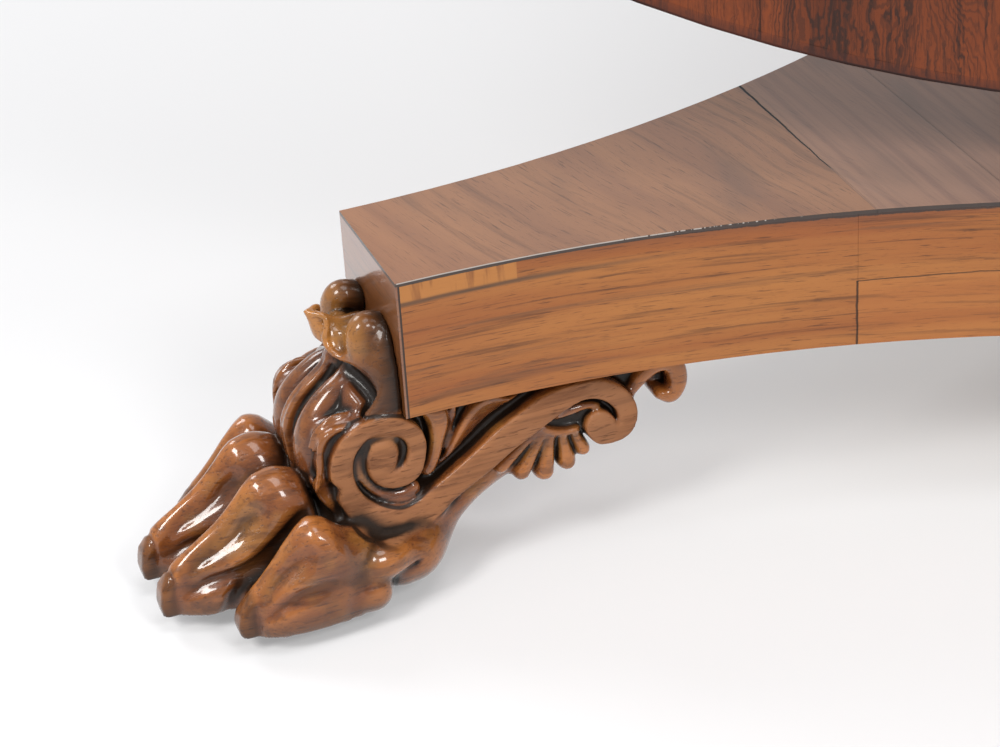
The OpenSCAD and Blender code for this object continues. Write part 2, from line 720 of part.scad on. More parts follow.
module bearer_blank() rotate([90, 0, 90]) linear_extrude(bearer_w) polygon([
    [-bearer_len / 2, board_under], [-bearer_len / 2, board_under - bearer_h * 0.4],
    [-bearer_len / 2 + bearer_slope, bearer_under], [bearer_len / 2 - bearer_slope, bearer_under],
    [bearer_len / 2, board_under - bearer_h * 0.4], [bearer_len / 2, board_under]]);

module bearer(side) color(mahogany) tipped() difference() {
    translate([side > 0 ? bearer_x : -bearer_x - bearer_w, 0, 0]) bearer_blank();
    translate([-bearer_x - bearer_w - 1, -axis_y, pivot_z])
        across(pin_r + shaft_gap, 2 * (bearer_x + bearer_w + 1));
    bearer_screw_set();
}

module bearer_screws() color(steel) tipped() bearer_screw_set();

// Catches

catch_screw_y = [catch_y + 8, catch_y + catch_len - 8];
module catch_screw_set() for (s = [-1, 1], x = [-1, 1], y = catch_screw_y)
    translate([s * catch_pitch / 2 + x * (catch_w / 2 - 5), y, board_under - catch_h]) {
        cylinder(r = small_screw_r, h = catch_h + small_bite, $fn = 24);
        cylinder(r = 2 * small_screw_r, h = 2, $fn = 24);
    }

module catch_case(side) color(brass) tipped() difference() {
    translate([side * catch_pitch / 2 - catch_w / 2, catch_y, board_under - catch_h])
        cube([catch_w, catch_len, catch_h]);
    translate([side * catch_pitch / 2, catch_y - 1, bolt_z]) along(bolt_r + shaft_gap, catch_len + 2);
    catch_screw_set();
}

module catch_screws() color(brass) tipped() catch_screw_set();

module catch_bolt(side) color(brass) tipped() translate([side * catch_pitch / 2, catch_y, bolt_z]) {
    along(bolt_r, bolt_len);
    translate([0, bolt_len - eps, 0]) along(knob_r, knob_len);
}

platform_centre();
platform_arm(1);  // platform_arm_1
platform_arm(2);  // platform_arm_2
platform_arm(3);  // platform_arm_3
platform_dowels();
centre_top_veneer();
inner_top_veneers();
arm_top_veneers();
side_veneer(1);  // side_veneer_1
side_veneer(2);  // side_veneer_2
side_veneer(3);  // side_veneer_3
end_veneers();
on_foot(1) foot();  // foot_1
on_foot(2) foot();  // foot_2
on_foot(3) foot();  // foot_3
foot_screws();
castor_sockets();
castor_plate_screws();
castor_horn(1);  // castor_horn_1
castor_horn(2);  // castor_horn_2
castor_horn(3);  // castor_horn_3
castor_axle(1);  // castor_axle_1
castor_axle(2);  // castor_axle_2
castor_axle(3);  // castor_axle_3
castor_wheel(1);  // castor_wheel_1
castor_wheel(2);  // castor_wheel_2
castor_wheel(3);  // castor_wheel_3
column_base_ring();
column_shaft();
column_wedge();
column_cap();
tilt_block();
pivot_pins();
catch_keepers();
keeper_screws();
top_plank(1);  // top_plank_1
top_plank(2);  // top_plank_2
top_plank(3);  // top_plank_3
top_plank(4);  // top_plank_4
top_veneer_left();
top_veneer_centre();
top_veneer_right();
rim_mouldings();
frieze_quarter(270);  // frieze_front
frieze_quarter(90);  // frieze_back
frieze_quarter(180);  // frieze_left
frieze_quarter(0);  // frieze_right
frieze_veneer();
frieze_beads();
bearer(-1);  // bearer_left
bearer(1);  // bearer_right
bearer_screws();
catch_case(-1);  // catch_case_left
catch_case(1);  // catch_case_right
catch_screws();
catch_bolt(-1);  // catch_bolt_left
catch_bolt(1);  // catch_bolt_right
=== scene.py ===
import bpy, json, math, time
import numpy as np
from mathutils import Vector, Matrix


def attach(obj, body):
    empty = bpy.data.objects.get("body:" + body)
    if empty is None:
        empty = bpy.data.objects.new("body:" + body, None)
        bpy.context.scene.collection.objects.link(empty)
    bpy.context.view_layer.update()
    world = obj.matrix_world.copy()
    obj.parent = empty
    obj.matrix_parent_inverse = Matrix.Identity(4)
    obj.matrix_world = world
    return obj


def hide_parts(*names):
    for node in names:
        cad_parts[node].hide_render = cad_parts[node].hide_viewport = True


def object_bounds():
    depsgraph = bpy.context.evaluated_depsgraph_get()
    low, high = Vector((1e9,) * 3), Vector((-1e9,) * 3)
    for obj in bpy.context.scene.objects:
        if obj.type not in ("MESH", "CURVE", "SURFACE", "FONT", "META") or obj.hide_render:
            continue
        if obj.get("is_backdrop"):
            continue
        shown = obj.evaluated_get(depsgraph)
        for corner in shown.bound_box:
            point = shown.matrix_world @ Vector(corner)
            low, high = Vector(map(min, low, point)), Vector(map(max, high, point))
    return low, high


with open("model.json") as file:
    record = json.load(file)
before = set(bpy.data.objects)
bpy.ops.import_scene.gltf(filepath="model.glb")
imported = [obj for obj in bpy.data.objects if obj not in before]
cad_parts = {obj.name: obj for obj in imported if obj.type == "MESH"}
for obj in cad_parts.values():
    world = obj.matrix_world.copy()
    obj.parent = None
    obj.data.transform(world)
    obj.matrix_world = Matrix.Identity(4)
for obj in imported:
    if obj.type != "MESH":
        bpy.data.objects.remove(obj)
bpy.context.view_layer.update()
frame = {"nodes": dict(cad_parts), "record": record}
began = time.time()
scene = bpy.context.scene


def report(stage):
    print("%s, %.0f s" % (stage, time.time() - began))


def linked(name, data):
    obj = bpy.data.objects.new(name, data)
    scene.collection.objects.link(obj)
    return obj


# camera, in metres from the floor point under the column, at the photograph's angle
camera = {"azimuth": 10.79, "elevation": 30.87, "roll": -3.77, "place": (-0.0798, -1.1589, 0.6783),
          "lens": 108.09, "sensor": 36, "clip": (0.02, 60)}


def turnedAxes(azimuth, elevation, roll):
    a, e, r = (math.radians(v) for v in (azimuth, elevation, roll))
    back = Vector((math.sin(a) * math.cos(e), -math.cos(a) * math.cos(e), math.sin(e)))
    right = Vector((math.cos(a), math.sin(a), 0))
    up = back.cross(right)
    return right * math.cos(r) + up * math.sin(r), up * math.cos(r) - right * math.sin(r), back


def makeCamera(c):
    data = bpy.data.cameras.new("camera")
    data.lens = c["lens"]
    data.sensor_width = c["sensor"]
    data.clip_start, data.clip_end = c["clip"]
    axes = turnedAxes(c["azimuth"], c["elevation"], c["roll"])
    rows = [[axis[i] for axis in axes] + [c["place"][i]] for i in range(3)]
    scene.camera = linked("camera", data)
    scene.camera.matrix_world = Matrix(rows + [[0, 0, 0, 1]])


makeCamera(camera)


# a shader socket that can be added, multiplied and compared as a number
class Amount:
    def __init__(self, finish, socket):
        self.finish, self.socket = finish, socket

    def math(self, operation, *others):
        values = [self] + list(others)
        return self.finish.node("ShaderNodeMath", {"operation": operation}, dict(enumerate(values)))

    def __neg__(self):
        return self.math("MULTIPLY", -1)

    def __abs__(self):
        return self.math("ABSOLUTE")

    def most(self, other):
        return self.math("MAXIMUM", other)

    def least(self, other):
        return self.math("MINIMUM", other)

    def bounded(self):
        return self.most(0).least(1)

    def scaled(self, low, high, toLow, toHigh, kind="LINEAR"):
        return self.finish.node("ShaderNodeMapRange", {"interpolation_type": kind},
                                {"Value": self, "From Min": low, "From Max": high, "To Min": toLow,
                                 "To Max": toHigh})

    # 0 below low, 1 above high, smooth between
    def step(self, low, high):
        return self.scaled(low, high, 0, 1, "SMOOTHSTEP")

    # 1 where it lies within inner of 0, and 0 beyond outer
    def near(self, inner, outer):
        return 1 - abs(self).step(inner, outer)


def overload(name, operation):
    def forward(self, other):
        return self.math(operation, other)

    def reflected(self, other):
        return self.finish.node("ShaderNodeMath", {"operation": operation}, {0: other, 1: self})

    setattr(Amount, "__%s__" % name, forward)
    setattr(Amount, "__r%s__" % name, reflected)


for name, operation in (("add", "ADD"), ("sub", "SUBTRACT"), ("mul", "MULTIPLY"), ("truediv", "DIVIDE"),
                        ("pow", "POWER")):
    overload(name, operation)


class Finish:
    def __init__(self, name):
        self.material = bpy.data.materials.new(name)
        self.material.use_nodes = True
        self.start(self.material.node_tree, "ShaderNodeOutputMaterial")

    def start(self, tree, output):
        self.tree, self.count = tree, 0
        tree.nodes.clear()
        self.output = tree.nodes.new(output)

    def node(self, kind, settings=None, inputs=None, out=0):
        made = self.tree.nodes.new(kind)
        made.location = (-200 * (1 + self.count % 12), -180 * (self.count // 12))
        self.count += 1
        for key, value in (settings or {}).items():
            setattr(made, key, value)
        for key, value in (inputs or {}).items():
            self.feed(made.inputs[key], value)
        return Amount(self, made.outputs[out])

    def feed(self, socket, value):
        if isinstance(value, Amount):
            self.tree.links.new(value.socket, socket)
        elif socket.type == "RGBA" and len(value) == 3:
            socket.default_value = tuple(value) + (1,)
        else:
            socket.default_value = value

    def split(self, vector):
        node = self.node("ShaderNodeSeparateXYZ", {}, {0: vector}).socket.node
        return [Amount(self, node.outputs[i]) for i in range(3)]

    def place(self):
        return self.split(self.node("ShaderNodeTexCoord", out="Object"))

    def attribute(self, name, out="Fac"):
        return self.node("ShaderNodeAttribute", {"attribute_name": name}, out=out)

    def vector(self, x, y, z):
        return self.node("ShaderNodeCombineXYZ", {}, {0: x, 1: y, 2: z})

    def noise(self, x, y, z, detail=3, roughness=0.5, distortion=0.0, scale=1.0):
        return self.node("ShaderNodeTexNoise", {"noise_dimensions": "3D"},
                         {"Vector": self.vector(x, y, z), "Scale": scale, "Detail": detail,
                          "Roughness": roughness, "Distortion": distortion})

    # layers of colour, each laid over the last by its mask
    def mix(self, tone, *layers):
        for mask, colour in layers:
            tone = self.node("ShaderNodeMix", {"data_type": "RGBA", "clamp_factor": True},
                             {0: mask, 6: tone, 7: colour}, out=2)
        return tone

    def bump(self, height, distance, strength):
        return self.node("ShaderNodeBump", {},
                         {"Height": height, "Distance": distance, "Strength": strength})

    def close(self, fixed, **varied):
        shader = self.tree.nodes.new("ShaderNodeBsdfPrincipled")
        names = {"colour": "Base Color", "roughness": "Roughness", "normal": "Normal", "coat": "Coat Weight",
                 "metal": "Metallic"}
        for key, value in {**fixed, **{names[key]: varied[key] for key in varied}}.items():
            self.feed(shader.inputs[key], value)
        self.tree.links.new(shader.outputs[0], self.output.inputs["Surface"])
        return self.material


# floor and light: plain pale floor, white ground, soft lamps that leave small highlights on the polish
studio = {"floorColours": ((0.78605, 0.78605, 0.796), (0.79, 0.79, 0.80)), "floorSize": 14.0,
          "floorGlow": 0.29, "floorWhite": (0.97, 0.97, 0.975), "whiteFrom": (1.5, 3.6), "glossyGlow": 0.5,
          "light": ((0.95, 0.97, 1.0), 0.46), "sky": ((0.95, 0.95, 0.95), 1.0), "glossySky": 0.25,
          "aim": (-0.1, -0.2, 0.25),
          "lamps": [((-1.5, -1.9, 2.3), 0.86, 51, (1, 0.985, 0.96)),
                    ((1.3, -1.7, 1.9), 0.66, 25, (1, 0.99, 0.97)),
                    ((-1.9, 0.9, 1.7), 0.9, 21, (0.97, 0.985, 1)),
                    ((0.4, -0.6, 3.4), 1.6, 32, (1, 1, 1))]}


def raysFor(f, *names):
    return [f.node("ShaderNodeLightPath", out="Is %s Ray" % name) for name in names]


def makeFloor(s):
    f = Finish("paleFloor")
    x, y, z = f.place()
    dark, pale = s["floorColours"]
    lit = f.node("ShaderNodeBsdfDiffuse", {},
                 {"Color": f.mix(dark, (f.noise(x, y, z, 3, 0.55, scale=3.0), pale))})
    glossy, camera = raysFor(f, "Glossy", "Camera")
    # far from the table the floor is seen as white, like the ground of the photograph
    far = ((x ** 2 + y ** 2) ** 0.5).step(*s["whiteFrom"])
    white = f.node("ShaderNodeEmission", {}, {"Color": s["floorWhite"], "Strength": 1.0})
    seen = camera * far.most(s["floorGlow"]) + glossy * s["glossyGlow"]
    both = f.node("ShaderNodeMixShader", {}, {0: seen, 1: lit, 2: white})
    f.feed(f.output.inputs["Surface"], both)
    half = s["floorSize"] / 2
    mesh = bpy.data.meshes.new("floor")
    mesh.from_pydata([(-half, -half, 0), (half, -half, 0), (half, half, 0), (-half, half, 0)], [],
                     [(0, 1, 2, 3)])
    mesh.materials.append(f.material)
    linked("floor", mesh)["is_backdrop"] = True


class Sky(Finish):
    def __init__(self, world):
        world.use_nodes = True
        self.start(world.node_tree, "ShaderNodeOutputWorld")


def makeSky(s):
    scene.world = bpy.data.worlds.new("studio")
    f = Sky(scene.world)
    light, shown = [f.node("ShaderNodeBackground", {}, {"Color": colour, "Strength": strength})
                    for colour, strength in (s["light"], s["sky"])]
    camera, through, glossy = raysFor(f, "Camera", "Transmission", "Glossy")
    seen = f.node("ShaderNodeMath", {"operation": "MULTIPLY_ADD", "use_clamp": True},
                  {0: glossy, 1: s["glossySky"], 2: camera.most(through)})
    f.feed(f.output.inputs["Surface"], f.node("ShaderNodeMixShader", {}, {0: seen, 1: light, 2: shown}))


def makeLamps(s):
    for i, (place, size, power, colour) in enumerate(s["lamps"]):
        data = bpy.data.lights.new("softLamp%d" % (i + 1), "AREA")
        data.size, data.energy, data.color = size, power, colour
        lamp = linked(data.name, data)
        lamp.location = place
        lamp.rotation_euler = (Vector(s["aim"]) - Vector(place)).to_track_quat("-Z", "Y").to_euler()


makeFloor(studio)
makeSky(studio)
makeLamps(studio)
scene.view_settings.view_transform = "Standard"
report("camera, floor and light")


# rosewood veneer: g runs along the grain, a across it, b through it, all in metres
def rosewood(f, g, a, b, s):
    warp = f.noise(g * 3.0, a * 9.0, b * 9.0)
    a1 = a + (warp - 0.5) * s["wave"]
    lines = f.noise(g * s["lineAlong"], a1 * s["lineAcross"], b * s["lineAcross"], 5, 0.62, 0.35)
    broad = f.noise(g * s["broadAlong"], a1 * s["broadAcross"], b * s["broadAcross"], 4, 0.55, 0.3)
    cloud = f.noise(g * 7.0, a * 14.0, b * 14.0)
    ticks = f.noise(g * 75.0, a1 * 1150.0, b * 1150.0, 3, 0.6)
    pores = f.noise(g * 240.0, a * 2600.0, b * 2600.0, 2, 0.6)
    streak = lines.step(s["lineFrom"], s["lineTo"])
    tone = f.mix(s["pale"], (broad.step(0.38, 0.64), s["middle"]),
                 (cloud.step(0.38, 0.68) * s["cloud"], s["cloudColour"]),
                 (streak * s["lineDepth"], s["dark"]),
                 (ticks.step(0.57, 0.69) * s["ticks"], s["dark"]),
                 (pores.step(0.60, 0.72) * s["pores"], s["dark"]))
    grain = ticks.step(0.52, 0.7) * 0.5 + pores.step(0.58, 0.72) * 0.5
    return tone, streak, cloud, grain


topWood = {"wave": 0.012, "lineAlong": 7.0, "lineAcross": 190.0, "broadAlong": 3.0, "broadAcross": 30.0,
           "lineFrom": 0.50, "lineTo": 0.72, "lineDepth": 0.42, "pale": (0.310, 0.150, 0.076),
           "middle": (0.225, 0.108, 0.062), "dark": (0.060, 0.032, 0.024), "cloud": 0.45,
           "cloudColour": (0.200, 0.092, 0.052), "ticks": 0.62, "pores": 0.45}
sideWood = {"wave": 0.014, "lineAlong": 13.0, "lineAcross": 420.0, "broadAlong": 2.2, "broadAcross": 42.0,
            "lineFrom": 0.50, "lineTo": 0.70, "lineDepth": 0.62, "pale": (0.415, 0.162, 0.042),
            "middle": (0.310, 0.100, 0.026), "dark": (0.075, 0.030, 0.015), "cloud": 0.40,
            "cloudColour": (0.290, 0.084, 0.026), "ticks": 0.66, "pores": 0.42}
rimWood = {"wave": 0.012, "lineAlong": 4.5, "lineAcross": 150.0, "broadAlong": 2.4, "broadAcross": 26.0,
           "lineFrom": 0.44, "lineTo": 0.62, "lineDepth": 0.8, "pale": (0.060, 0.018, 0.012),
           "middle": (0.110, 0.022, 0.009), "dark": (0.012, 0.007, 0.007), "cloud": 0.4,
           "cloudColour": (0.060, 0.014, 0.008), "ticks": 0.4, "pores": 0.3}
friezeWood = {**sideWood, "pale": (0.270, 0.090, 0.032), "middle": (0.160, 0.050, 0.020), "lineDepth": 0.8}
turnedWood = {**sideWood, "pale": (0.26, 0.085, 0.028), "middle": (0.15, 0.045, 0.018), "lineDepth": 0.85,
              "lineAlong": 5.0}
plainWood = {**topWood, "lineAcross": 140.0, "lineDepth": 0.6, "ticks": 0.25, "pores": 0.3}


# the sector of the platform that a point lies in, and its coordinates there
def sectorPlace(f, start):
    x, y, z = f.place()
    k = ((y.math("ARCTAN2", x) - start) * (3 / (2 * math.pi))).math("ROUND")
    k = k + (1 - k.step(-1.6, -1.4)) * 3
    angle = k * (2 * math.pi / 3) + start
    c, n = angle.math("COSINE"), angle.math("SINE")
    return x * c + y * n, y * c - x * n, z, k


# the edge colour is dirt with a painted shadow line; the pale colour after it is a painted highlight on the
# arris
topVeneer = {"joints": (0.126, 0.1787), "top": 0.1380, "crackWidth": (0.00046, 0.00014), "end": 0.3622,
             "grey": ((0.290, 0.168, 0.118), (0.195, 0.112, 0.086)), "warm": (0.370, 0.150, 0.060),
             "smoke": (0.100, 0.064, 0.050), "joint": (0.05, 0.03, 0.025), "crack": (0.004, 0.003, 0.003),
             "edge": (0.014, 0.008, 0.006), "arrisHighlight": (0.58, 0.52, 0.47)}


def topVeneerFinish(s):
    f = Finish("platformTop")
    u, v, z, k = sectorPlace(f, math.pi / 2)
    near, far = s["joints"]
    drift = f.noise(u * 5 + k, v * 5, k, 2)
    tone, streak, _, grain = rosewood(f, v + k * 0.37, u + v * 0.16 + (drift - 0.5) * 0.05, k, topWood)
    # inner strips of veneer are greyer and straighter, the arm's own is warmer
    inner = 1 - u.step(far - 0.0002, far)
    straight = f.noise(v * 4.0, u * 210.0, k, 4, 0.6)
    grey = f.mix(s["grey"][0], (straight.step(0.42, 0.66), s["grey"][1]))
    smoke = f.noise(v * 9, u * 30, k)
    # open crack that narrows across the arm, and the closed joint further in
    wander = f.noise(v * 60, k * 3, 0.0, 3, 0.6)
    off = abs(u - far + (wander - 0.5) * 0.0016)
    photographed = k.step(0.4, 0.6)
    width = v.scaled(-0.062, 0.024, *s["crackWidth"])
    crack = (1 - off.step(width, width + 0.00022)) * (1 - v.step(0.019, 0.026)) * photographed
    faint = 1 - off.step(0.0001, 0.0004)
    joint = (u - near).near(0.0001, 0.0012)
    # edge of the veneer: dark with dirt and a painted shadow line, and a painted highlight in dashes along
    # the arris towards the arm's end
    brim = 1 - z.step(s["top"] - 0.00012, s["top"] - 0.00004)
    side = 1 - u.step(s["end"], s["end"] + 0.0006)
    chips = f.noise(u * 420, k, 4.1, 3, 0.6)
    low = u.scaled(0.21, 0.31, 0.60, 0.22).bounded()
    arrisHighlight = chips.step(low, low + 0.06) * u.step(0.20, 0.22) * z.step(s["top"] - 0.0007, s["top"] - 0.0004)
    # the last two layers are the dark edge, partly painted shadow, and the painted arris highlight
    tone = f.mix(tone, (inner * 0.62, grey), (u.step(0.30, 0.372) * 0.32, s["warm"]),
                 (smoke.step(0.54, 0.72) * 0.42, s["smoke"]),
                 ((faint * 0.35 + joint * 0.3).bounded(), s["joint"]),
                 (crack, s["crack"]), (brim * 0.92, s["edge"]), (brim * arrisHighlight * side * 0.75, s["arrisHighlight"]))
    wiped = f.noise(u * 14, v * 9, z, 4, 0.6)
    height = grain * -0.3 + streak * -0.15 - crack * 4.0 - joint * 0.6
    return f.close({"Coat Roughness": 0.14, "Coat IOR": 1.6, "Specular IOR Level": 0.5}, colour=tone,
                   roughness=0.33 + wiped * 0.14 + grain * 0.06 + crack * 0.4,
                   coat=0.34 + wiped * 0.2 - crack * 0.2, normal=f.bump(height, 0.00025, 0.5))


# the edge colour is dirt with a painted shadow line where side and top meet
sideVeneer = {"patch": (-0.2560, 0.1290), "joint": (-0.1310, 0.1072), "topEdge": 0.1364, "corner": 0.2970,
              "smoke": (0.130, 0.062, 0.032), "letIn": (0.52, 0.19, 0.05), "under": (0.075, 0.052, 0.034),
              "patchTones": ((0.455, 0.185, 0.048), (0.27, 0.100, 0.030)), "shade": (0.110, 0.042, 0.028),
              "joints": (0.022, 0.012, 0.008), "edge": (0.016, 0.009, 0.007),
              "cornerLine": (0.030, 0.022, 0.018)}


def sideVeneerFinish(s):
    f = Finish("platformSide")
    _, x, z, k = sectorPlace(f, math.pi / 6)
    mine = 1 - k.step(-0.6, -0.4)
    tone, streak, cloud, grain = rosewood(f, x + k * 0.61, z + x * 0.006, k, sideWood)
    # smoky streaks drawn out along the side
    smoke = f.noise(x * 5.0 + k * 2.1, z * 120.0, k, 4, 0.62, 0.6)
    # block of veneer let in below a horizontal joint
    across, high = s["joint"]
    low = 1 - z.step(high + 0.0001, high + 0.0003)
    beyond = x.step(across - 0.0002, across + 0.0002)
    wander = (f.noise(x * 90, z * 90, k, 3, 0.6) - 0.5) * 0.0012
    upright = (x - across + wander).near(0.0002, 0.0006) * low
    level = (z - high - 0.02 * (x - across) * mine + wander).near(0.0001, 0.0004) * beyond
    level = level * (1 - x.step(0.1308, 0.1312))
    # patch along the top edge near the corner, with its own upright figure and a smoky lower joint
    end, foot = s["patch"]
    patch = z.step(foot, foot + 0.0002) * (1 - x.step(end - 0.0002, end + 0.0002)) * mine
    cross = f.noise(x * 260, z * 30 + x * 90, 3.0, 4, 0.6)
    patchTone = f.mix(s["patchTones"][0], (cross.step(0.5, 0.7), s["patchTones"][1]))
    ripple = (f.noise(x * 22, 0.3, k) - 0.5) * 0.0022
    under = (z - foot + 0.0006 - ripple).near(0.0002, 0.0016) * (1 - x.step(-0.262, -0.17)) * mine
    shade = (z + ripple * 2).step(0.1305, 0.1375) * x.step(-0.262, -0.22) * (1 - x.step(-0.10, -0.02)) * mine
    # line where side and top meet, dark with wear, dirt and a painted shadow, and the dark corner joint
    ragged = f.noise(x * 160, 1.7, k, 4, 0.7)
    gone = x.step(-0.225, -0.150) * (1 - x.step(0.2, 0.28))
    depth = 0.0001 + ragged * (0.0004 + gone * 0.0014)
    edge = (z - s["topEdge"] + depth).step(-0.0001, 0.0003)
    corner = abs(x).step(s["corner"], s["corner"] + 0.0004)
    tone = f.mix(tone, (smoke.step(0.57, 0.72) * 0.6, s["smoke"]), (low * beyond * 0.22 * mine, s["letIn"]),
                 (patch * 0.9, patchTone), (under * 0.72, s["under"]), (shade * 0.5, s["shade"]),
                 ((upright * 0.85 + level * 0.7).bounded(), s["joints"]), (edge * 0.9, s["edge"]),
                 (corner * 0.85, s["cornerLine"]))
    height = grain * -0.3 + streak * -0.15 - (upright + level) * 1.5 - edge * ragged * 2.0
    return f.close({"Coat Roughness": 0.18, "Coat IOR": 1.5, "Specular IOR Level": 0.35}, colour=tone,
                   roughness=0.42 + cloud * 0.12 + grain * 0.06 - edge * 0.2,
                   coat=0.05 + cloud * 0.07 + edge * 0.5, normal=f.bump(height, 0.0003, 0.5))


# the first colour is painted shade laid over the whole end face; the line colour is the dark joint at its
# edges
armEnd = {"edge": 0.0314, "end": 0.3620, "paintedEndShade": (0.120, 0.042, 0.016), "line": (0.026, 0.019, 0.016)}


def endVeneerFinish(s):
    f = Finish("armEnd")
    u, v, z, k = sectorPlace(f, math.pi / 2)
    tone, _, cloud, grain = rosewood(f, v + k * 0.21, z, k, sideWood)
    rim = abs(v).step(s["edge"], s["edge"] + 0.0004) * (1 - u.step(s["end"], s["end"] + 0.0004))
    # painted shade over the whole end face, then the dark joint line
    tone = f.mix(tone, (0.55, s["paintedEndShade"]), (rim * 0.9, s["line"]))
    return f.close({"Coat Roughness": 0.10, "Coat IOR": 1.6}, colour=tone,
                   roughness=0.24 + cloud * 0.1 + rim * 0.3, coat=(0.9 + cloud * 0.1) * (1 - rim),
                   normal=f.bump(grain * -0.25, 0.0002, 0.4))


# the last colour darkens the face towards the rim as painted shade
topFigure = {"joints": 0.1685, "rings": 170.0, "swell": 34.0, "radius": 0.5935, "axis": 0.7695,
             "front": -0.1262, "eye": (-0.0975, 0.2295, 0.010, 0.024), "pale": (0.200, 0.048, 0.016),
             "middle": (0.098, 0.026, 0.012), "black": (0.030, 0.017, 0.014), "ticks": (0.022, 0.012, 0.010),
             "shade": (0.062, 0.028, 0.020), "seam": (0.01, 0.006, 0.005), "rim": (0.024, 0.012, 0.011),
             "wearAndPaintedShading": (0.050, 0.018, 0.015)}


# three leaves of veneer side by side; the black figure is the level lines of a long swelling
def figuredTone(f, x, z, s):
    joint = s["joints"]
    leaf = x.step(-joint - 0.0002, -joint + 0.0002) + x.step(joint - 0.0002, joint + 0.0002)
    side = x + leaf * 0.29
    ex, ez, ew, eh = s["eye"]
    away = ((x - ex) / ew) ** 2 + ((z - ez) / eh) ** 2
    swell = f.noise(side * 17, leaf * 3.0, z * 5.5, 2)
    small = f.noise(side * 85, leaf * 3.0, z * 34.0, 4, 0.62)
    hill = side * s["rings"] + swell * s["swell"] + small * 6.5 + 9.0 / (1 + away * 1.2)
    ring = (hill * (2 * math.pi)).math("SINE") * 0.5 + 0.5
    broad = f.noise(side * 24, leaf * 2, z * 3.2)
    fine = f.noise(side * 520 + small * 7, leaf, z * 11.0, 4, 0.65)
    black = ring.step(0.34, 1.0) * broad.scaled(0.36, 0.62, 0.15, 0.85)
    black = (black + fine.step(0.46, 0.64) * 0.7).bounded()
    ticks = f.noise(side * 1300, 0.5, z * 90, 3, 0.6).step(0.55, 0.7)
    seam = (abs(x) - joint).near(0.0001, 0.0004)
    tone = f.mix(s["pale"], (broad.step(0.36, 0.66), s["middle"]), (black * 0.86, s["black"]),
                 (ticks * 0.45, s["ticks"]), (x.scaled(-0.12, 0.20, 0.0, 0.58).bounded(), s["shade"]),
                 (seam * 0.6, s["seam"]))
    return tone, ticks, seam


def tabletopFinish(s):
    f = Finish("tabletop")
    x, y, z = f.place()
    tone, ticks, seam = figuredTone(f, x, z, s)
    wiped = f.noise(x * 6, y * 6, z * 6)
    return f.close({"Coat Roughness": 0.08, "Coat IOR": 1.45, "Specular IOR Level": 0.14}, colour=tone,
                   roughness=0.34 + wiped * 0.1, coat=0.06 + wiped * 0.10,
                   normal=f.bump(ticks * -0.4 - seam, 0.0002, 0.4))


def edgeFinish(s):
    f = Finish("darkEdge")
    x, y, z = f.place()
    rise = z - s["axis"]
    tone, _, cloud, grain = rosewood(f, rise.math("ARCTAN2", x) * 0.6, y, z * 0.2, rimWood)
    # the face veneer runs out over the rim to a thin dark line
    face, _, _ = figuredTone(f, x, z, s)
    reach = (x ** 2 + rise ** 2) ** 0.5
    front = (1 - y.step(s["front"], s["front"] + 0.0005)) \
        * (1 - reach.step(s["radius"] - 0.0004, s["radius"] + 0.0002))
    # painted shade: the face darkens towards the rim, as a rounded edge would be shaded
    face = f.mix(face, (reach.step(s["radius"] - 0.006, s["radius"]) * 0.55, s["wearAndPaintedShading"]))
    return f.close({"Coat Roughness": 0.1, "Specular IOR Level": 0.14},
                   colour=f.mix(tone, (0.5, s["rim"]), (front, face)), roughness=0.34 + cloud * 0.1,
                   coat=0.06 + cloud * 0.1, normal=f.bump(grain * -0.3, 0.0002, 0.4))


def friezeFinish(s):
    f = Finish("friezeVeneer")
    x, y, z = f.place()
    around = (z - s["axis"]).math("ARCTAN2", x) * 0.57
    tone, _, cloud, grain = rosewood(f, around, y, x * 0.1, friezeWood)
    return f.close({"Coat Roughness": 0.12, "Specular IOR Level": 0.3}, colour=tone,
                   roughness=0.36 + cloud * 0.1, coat=0.16 + cloud * 0.16,
                   normal=f.bump(grain * -0.3, 0.0002, 0.4))


# the near-black colour is dirt and painted shade in the hollows, and darkens the foot towards the sole
carvedLook = {"pale": (0.430, 0.148, 0.032), "middle": (0.200, 0.059, 0.0145), "deep": (0.050, 0.014, 0.006),
              "amber": (0.340, 0.150, 0.032), "gold": (0.420, 0.190, 0.045), "nearBlack": (0.007, 0.005, 0.0035),
              "strap": (0.330, 0.140, 0.060), "strapDark": (0.120, 0.044, 0.020),
              "strapPatch": (0.330, 0.150, 0.070), "bloom": (0.20, 0.18, 0.14), "bracket": 0.0262,
              "cleft": 0.0278}


